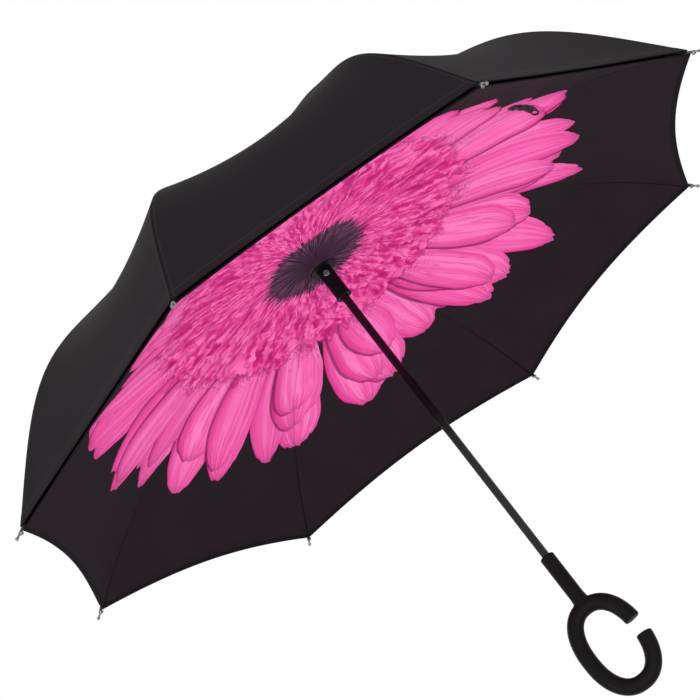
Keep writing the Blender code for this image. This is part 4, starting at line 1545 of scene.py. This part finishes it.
@dataclass
class RibSets(Assembly):
    """Eight linked rib sets with smooth turned tips."""

    end_radius: float = 0.5255
    end_height: float = 0.470875
    socket: float = 0.0028
    socket_depth: float = 0.0040
    lip: float = 0.0003
    stem: float = 0.0013
    reach: float = 0.0100
    ball: float = 0.0023
    ball_steps: int = 12
    sides: int = 32
    droop_start: float = 0.0005
    droop: float = math.radians(34)

    def profile(self) -> list[tuple[float, float]]:
        """Half a section of a tip, from the back of its socket to the end of its ball.

        Returns:
            Points as (radius, height).
        """
        start = -self.socket_depth
        points = [
            (0, start),
            (self.socket - self.lip, start),
            (self.socket, start + self.lip),
            (self.socket, -0.0002),
            (self.socket - 0.0004, self.lip),
            (self.stem + 0.0002, 0.0011),
            (self.stem, 0.0020),
        ]
        first = math.acos(-math.sqrt(1 - (self.stem / self.ball) ** 2))
        centre = self.reach - self.ball
        for i in range(self.ball_steps):
            turn = first * (1 - i / self.ball_steps)
            points.append((self.ball * math.sin(turn), centre + self.ball * math.cos(turn)))
        return [*points, (0, self.reach)]

    def tip(self, number: int) -> None:
        """One bright tip: a socket along its rib, and a stem and ball that droop with the cloth.

        Args:
            number: The rib, from 0.
        """
        shape = self.turned(self.profile(), self.sides)
        drooping = [vertex for vertex in shape.verts if vertex.co.z > self.droop_start]
        droop = Matrix.Rotation(self.droop, 3, "Y")
        bmesh.ops.rotate(shape, cent=(0, 0, 0), matrix=droop, verts=drooping)
        place = Matrix.Translation((self.end_radius, 0, self.end_height))
        matrix = rib_turn(number) @ place @ Matrix.Rotation(math.pi / 2, 4, "Y")
        bmesh.ops.transform(shape, matrix=matrix, verts=shape.verts)
        name = f"bright_tip_{number + 1}"
        self.piece(name, shape, Slot.TIP, f"lower_rib_{number + 1}", (f"rib_tip_{number + 1}",), 50)

    def build(self) -> None:
        """Dress the links and turn the tips."""
        for number in range(GORES):
            for link in ("lower_arm", "lower_rib", "upper_rib", "upper_arm"):
                self.dress_node(f"{link}_{number + 1}", Slot.RIB)
            self.tip(number)


@dataclass
class ClosingStrap(Assembly):
    """The tape that holds the closed umbrella, lying loose under the inner layer, and its cord loop."""

    canopy: ClothLayer
    first: float = -0.0425
    last: float = 0.0310
    width: float = 0.010
    thickness: float = 0.0010
    radius: float = 0.331
    angle: float = math.radians(-19.5) - FIRST_RIB
    clearance: float = 0.0008
    wave: float = 0.0020
    rows: int = 72
    columns: int = 6
    loop_length: float = 0.0155
    loop_width: float = 0.0090
    loop_overlap: float = 0.0025
    cord: float = 0.0008
    cord_sides: int = 12
    loop_sides: int = 48
    body: str = "lower_rib_1"

    def laid(self, along: float, aside: float, above: float) -> Vector:
        """Place under the cloth of a point of the flat tape.

        Args:
            along: Distance along the tape from its middle.
            aside: Distance across it, outwards from the shaft.
            above: Distance towards the cloth.

        Returns:
            The point in the rib's own turn of the plan.
        """
        angle = self.angle + along / self.radius
        radius = self.radius + aside
        spot = Vector((radius * math.cos(angle), radius * math.sin(angle)))
        share = min(1.0, (along - self.first) / (self.last - self.first))
        drop = self.canopy.thickness / 2 + self.thickness / 2 + self.clearance
        drop += self.wave * math.sin(3 * math.pi * share) ** 2
        return Vector((spot.x, spot.y, self.canopy.surface(spot.x, spot.y) - drop + above))

    def tape(self, turn: Matrix) -> bpy.types.Object:
        """The tape, mapped from an even grid.

        Args:
            turn: The rib's turn round the shaft.

        Returns:
            The tape on its body.
        """
        shape = bmesh.new()
        bmesh.ops.create_grid(shape, x_segments=self.rows, y_segments=self.columns, size=1)
        flat = shape.loops.layers.uv.new("flat")
        marks = {}
        for vertex in shape.verts:
            along = self.first + (self.last - self.first) * (vertex.co.x + 1) / 2
            aside = vertex.co.y * self.width / 2
            marks[vertex.index] = (along - self.first, aside)
            vertex.co = turn @ self.laid(along, aside, 0.0)
        for face in shape.faces:
            for loop in face.loops:
                loop[flat].uv = marks[loop.vert.index]
        made = self.piece("strap_tape", shape, Slot.TAPE, self.body, ("closing_strap",), 0)
        solid = made.modifiers.new("tape_thickness", "SOLIDIFY")
        solid.thickness = self.thickness
        solid.offset = 0
        return made

    def loop(self, turn: Matrix) -> bpy.types.Object:
        """The cord loop sewn into the tape's free end.

        Args:
            turn: The rib's turn round the shaft.

        Returns:
            The loop on its body.
        """
        round_radius = self.loop_width / 2 - self.cord
        section = []
        for i in range(self.cord_sides):
            around = FULL_TURN * i / self.cord_sides
            section.append((round_radius + self.cord * math.cos(around), self.cord * math.sin(around)))
        shape = self.turned(section, self.loop_sides)
        stretch = (self.loop_length - 2 * self.cord) / (self.loop_width - 2 * self.cord)
        middle = self.last + self.loop_length / 2 - self.loop_overlap
        for vertex in shape.verts:
            x, y, z = vertex.co
            vertex.co = turn @ self.laid(middle + x * stretch, y, z)
        return self.piece("strap_loop", shape, Slot.MOULDED, self.body, ("closing_strap",), 0)

    def build(self) -> None:
        """Lay the tape and its loop under the first rib's cloth."""
        turn = rib_turn(0)
        last_band = self.canopy.bands[-1]
        tape = self.tape(turn)
        self.canopy.fold(tape, turn, last_band.start, last_band.keep)
        self.canopy.fold(self.loop(turn), turn, last_band.start, last_band.keep)


@dataclass(frozen=True)
class Lamp:
    """A large soft square lamp: its place, its side in metres and its watts."""

    name: str
    place: tuple[float, float, float]
    size: float
    power: float

    def build(self, aim: Vector) -> None:
        """Put the lamp in the scene, turned towards a point.

        Args:
            aim: The point.
        """
        light = bpy.data.lights.new(self.name, "AREA")
        light.shape = "SQUARE"
        light.size = self.size
        light.energy = self.power
        place = Vector(self.place)
        turn = (place - aim).to_track_quat("Z", "Y").to_matrix().to_4x4()
        placed(self.name, light).matrix_world = Matrix.Translation(place) @ turn


@dataclass
class Studio:
    """Camera, lamps, white surroundings and a pale floor under the umbrella."""

    eye: tuple[float, float, float] = (-0.000116, -2.769028, -0.512285)
    right: tuple[float, float, float] = (0.789906, 0.218198, -0.573096)
    up: tuple[float, float, float] = (0.613110, -0.262668, 0.745051)
    lens: float = 121.49
    lamps: tuple[Lamp, ...] = (
        Lamp("key", (-0.4, -2.9, 2.3), 1.8, 24),
        Lamp("fill", (-2.3, -1.7, -1.0), 1.8, 56),
        Lamp("under", (0.4, -1.9, -1.0), 1.4, 32),
        Lamp("rear", (-1.4, 2.9, 1.6), 1.8, 40),
    )
    lit_middle: tuple[float, float, float] = (0, 0, 0.5)
    floor_height: float = -1.15
    floor_half: float = 9
    floor_grey: Colour = (0.80, 0.80, 0.80, 1)
    floor_glow: float = 0.30
    ambient: float = 0.85

    def camera(self) -> None:
        """The camera at the photograph's viewing angle."""
        right = Vector(self.right)
        up = Vector(self.up)
        axes = Matrix((right, up, right.cross(up))).transposed().to_4x4()
        lens = bpy.data.cameras.new("camera")
        lens.lens = self.lens
        lens.sensor_width = 36
        lens.clip_start = 0.05
        lens.clip_end = 50
        holder = placed("camera", lens)
        holder.matrix_world = Matrix.Translation(self.eye) @ axes
        bpy.context.scene.camera = holder

    def surroundings(self) -> None:
        """White for what looks at it, and a plain grey light on the object."""
        world = bpy.data.worlds.new("studio")
        world.use_nodes = True
        bpy.context.scene.world = world
        g = Graph(world.node_tree)
        strength = g.blend(self.seen(g), self.ambient, 1.0)
        g.fill(world.node_tree.nodes["Background"], {"Color": WHITE, "Strength": strength})

    def seen(self, g: Graph) -> Value:
        """1 for camera, glossy and transmission rays, and 0 for the light on the object."""
        path = g.outputs(g.node("ShaderNodeLightPath", {}))
        return path["Is Camera Ray"].larger(path["Is Glossy Ray"]).larger(path["Is Transmission Ray"])

    def floor_material(self) -> bpy.types.Material:
        """Pale from above and clear from below.

        Returns:
            The material.
        """
        made = bpy.data.materials.new("pale_floor")
        made.use_nodes = True
        g = Graph(made.node_tree)
        shader = made.node_tree.nodes["Principled BSDF"]
        looks = {
            "Base Color": self.floor_grey,
            "Roughness": 0.9,
            "Emission Color": WHITE,
            "Emission Strength": self.seen(g) * self.floor_glow,
        }
        pale = Value(g, g.fill(shader, looks).outputs[0])
        clear = g.add("ShaderNodeBsdfTransparent", {})
        below = g.add("ShaderNodeNewGeometry", {}, "Backfacing")
        both = g.add("ShaderNodeMixShader", {0: below, 1: pale, 2: clear})
        g.put(made.node_tree.nodes["Material Output"].inputs["Surface"], both)
        return made

    def floor(self) -> None:
        """A large floor that keeps the shadow."""
        shape = bmesh.new()
        bmesh.ops.create_grid(shape, x_segments=4, y_segments=4, size=self.floor_half)
        bmesh.ops.translate(shape, verts=shape.verts, vec=(0, 0, self.floor_height))
        mesh = bpy.data.meshes.new("floor")
        shape.to_mesh(mesh)
        shape.free()
        mesh.materials.append(self.floor_material())
        placed("floor", mesh)

    def build(self) -> None:
        """Set the camera, the lamps, the surroundings and the floor."""
        self.camera()
        for lamp in self.lamps:
            lamp.build(Vector(self.lit_middle))
        self.surroundings()
        self.floor()
        bpy.context.scene.view_settings.view_transform = "Standard"


def main() -> None:
    """Build every sub-assembly in order, and report each."""
    canopy = Canopy()
    strap = ClosingStrap(canopy.layers[0])
    for assembly in (Studio(), canopy, strap, RibSets(), Shaft(), Runner(), Handle()):
        assembly.build()
        LOG.info("built %s", type(assembly).__name__)


if __name__ == "__main__":
    logging.basicConfig(level=logging.INFO, format="%(name)s: %(message)s")
    main()
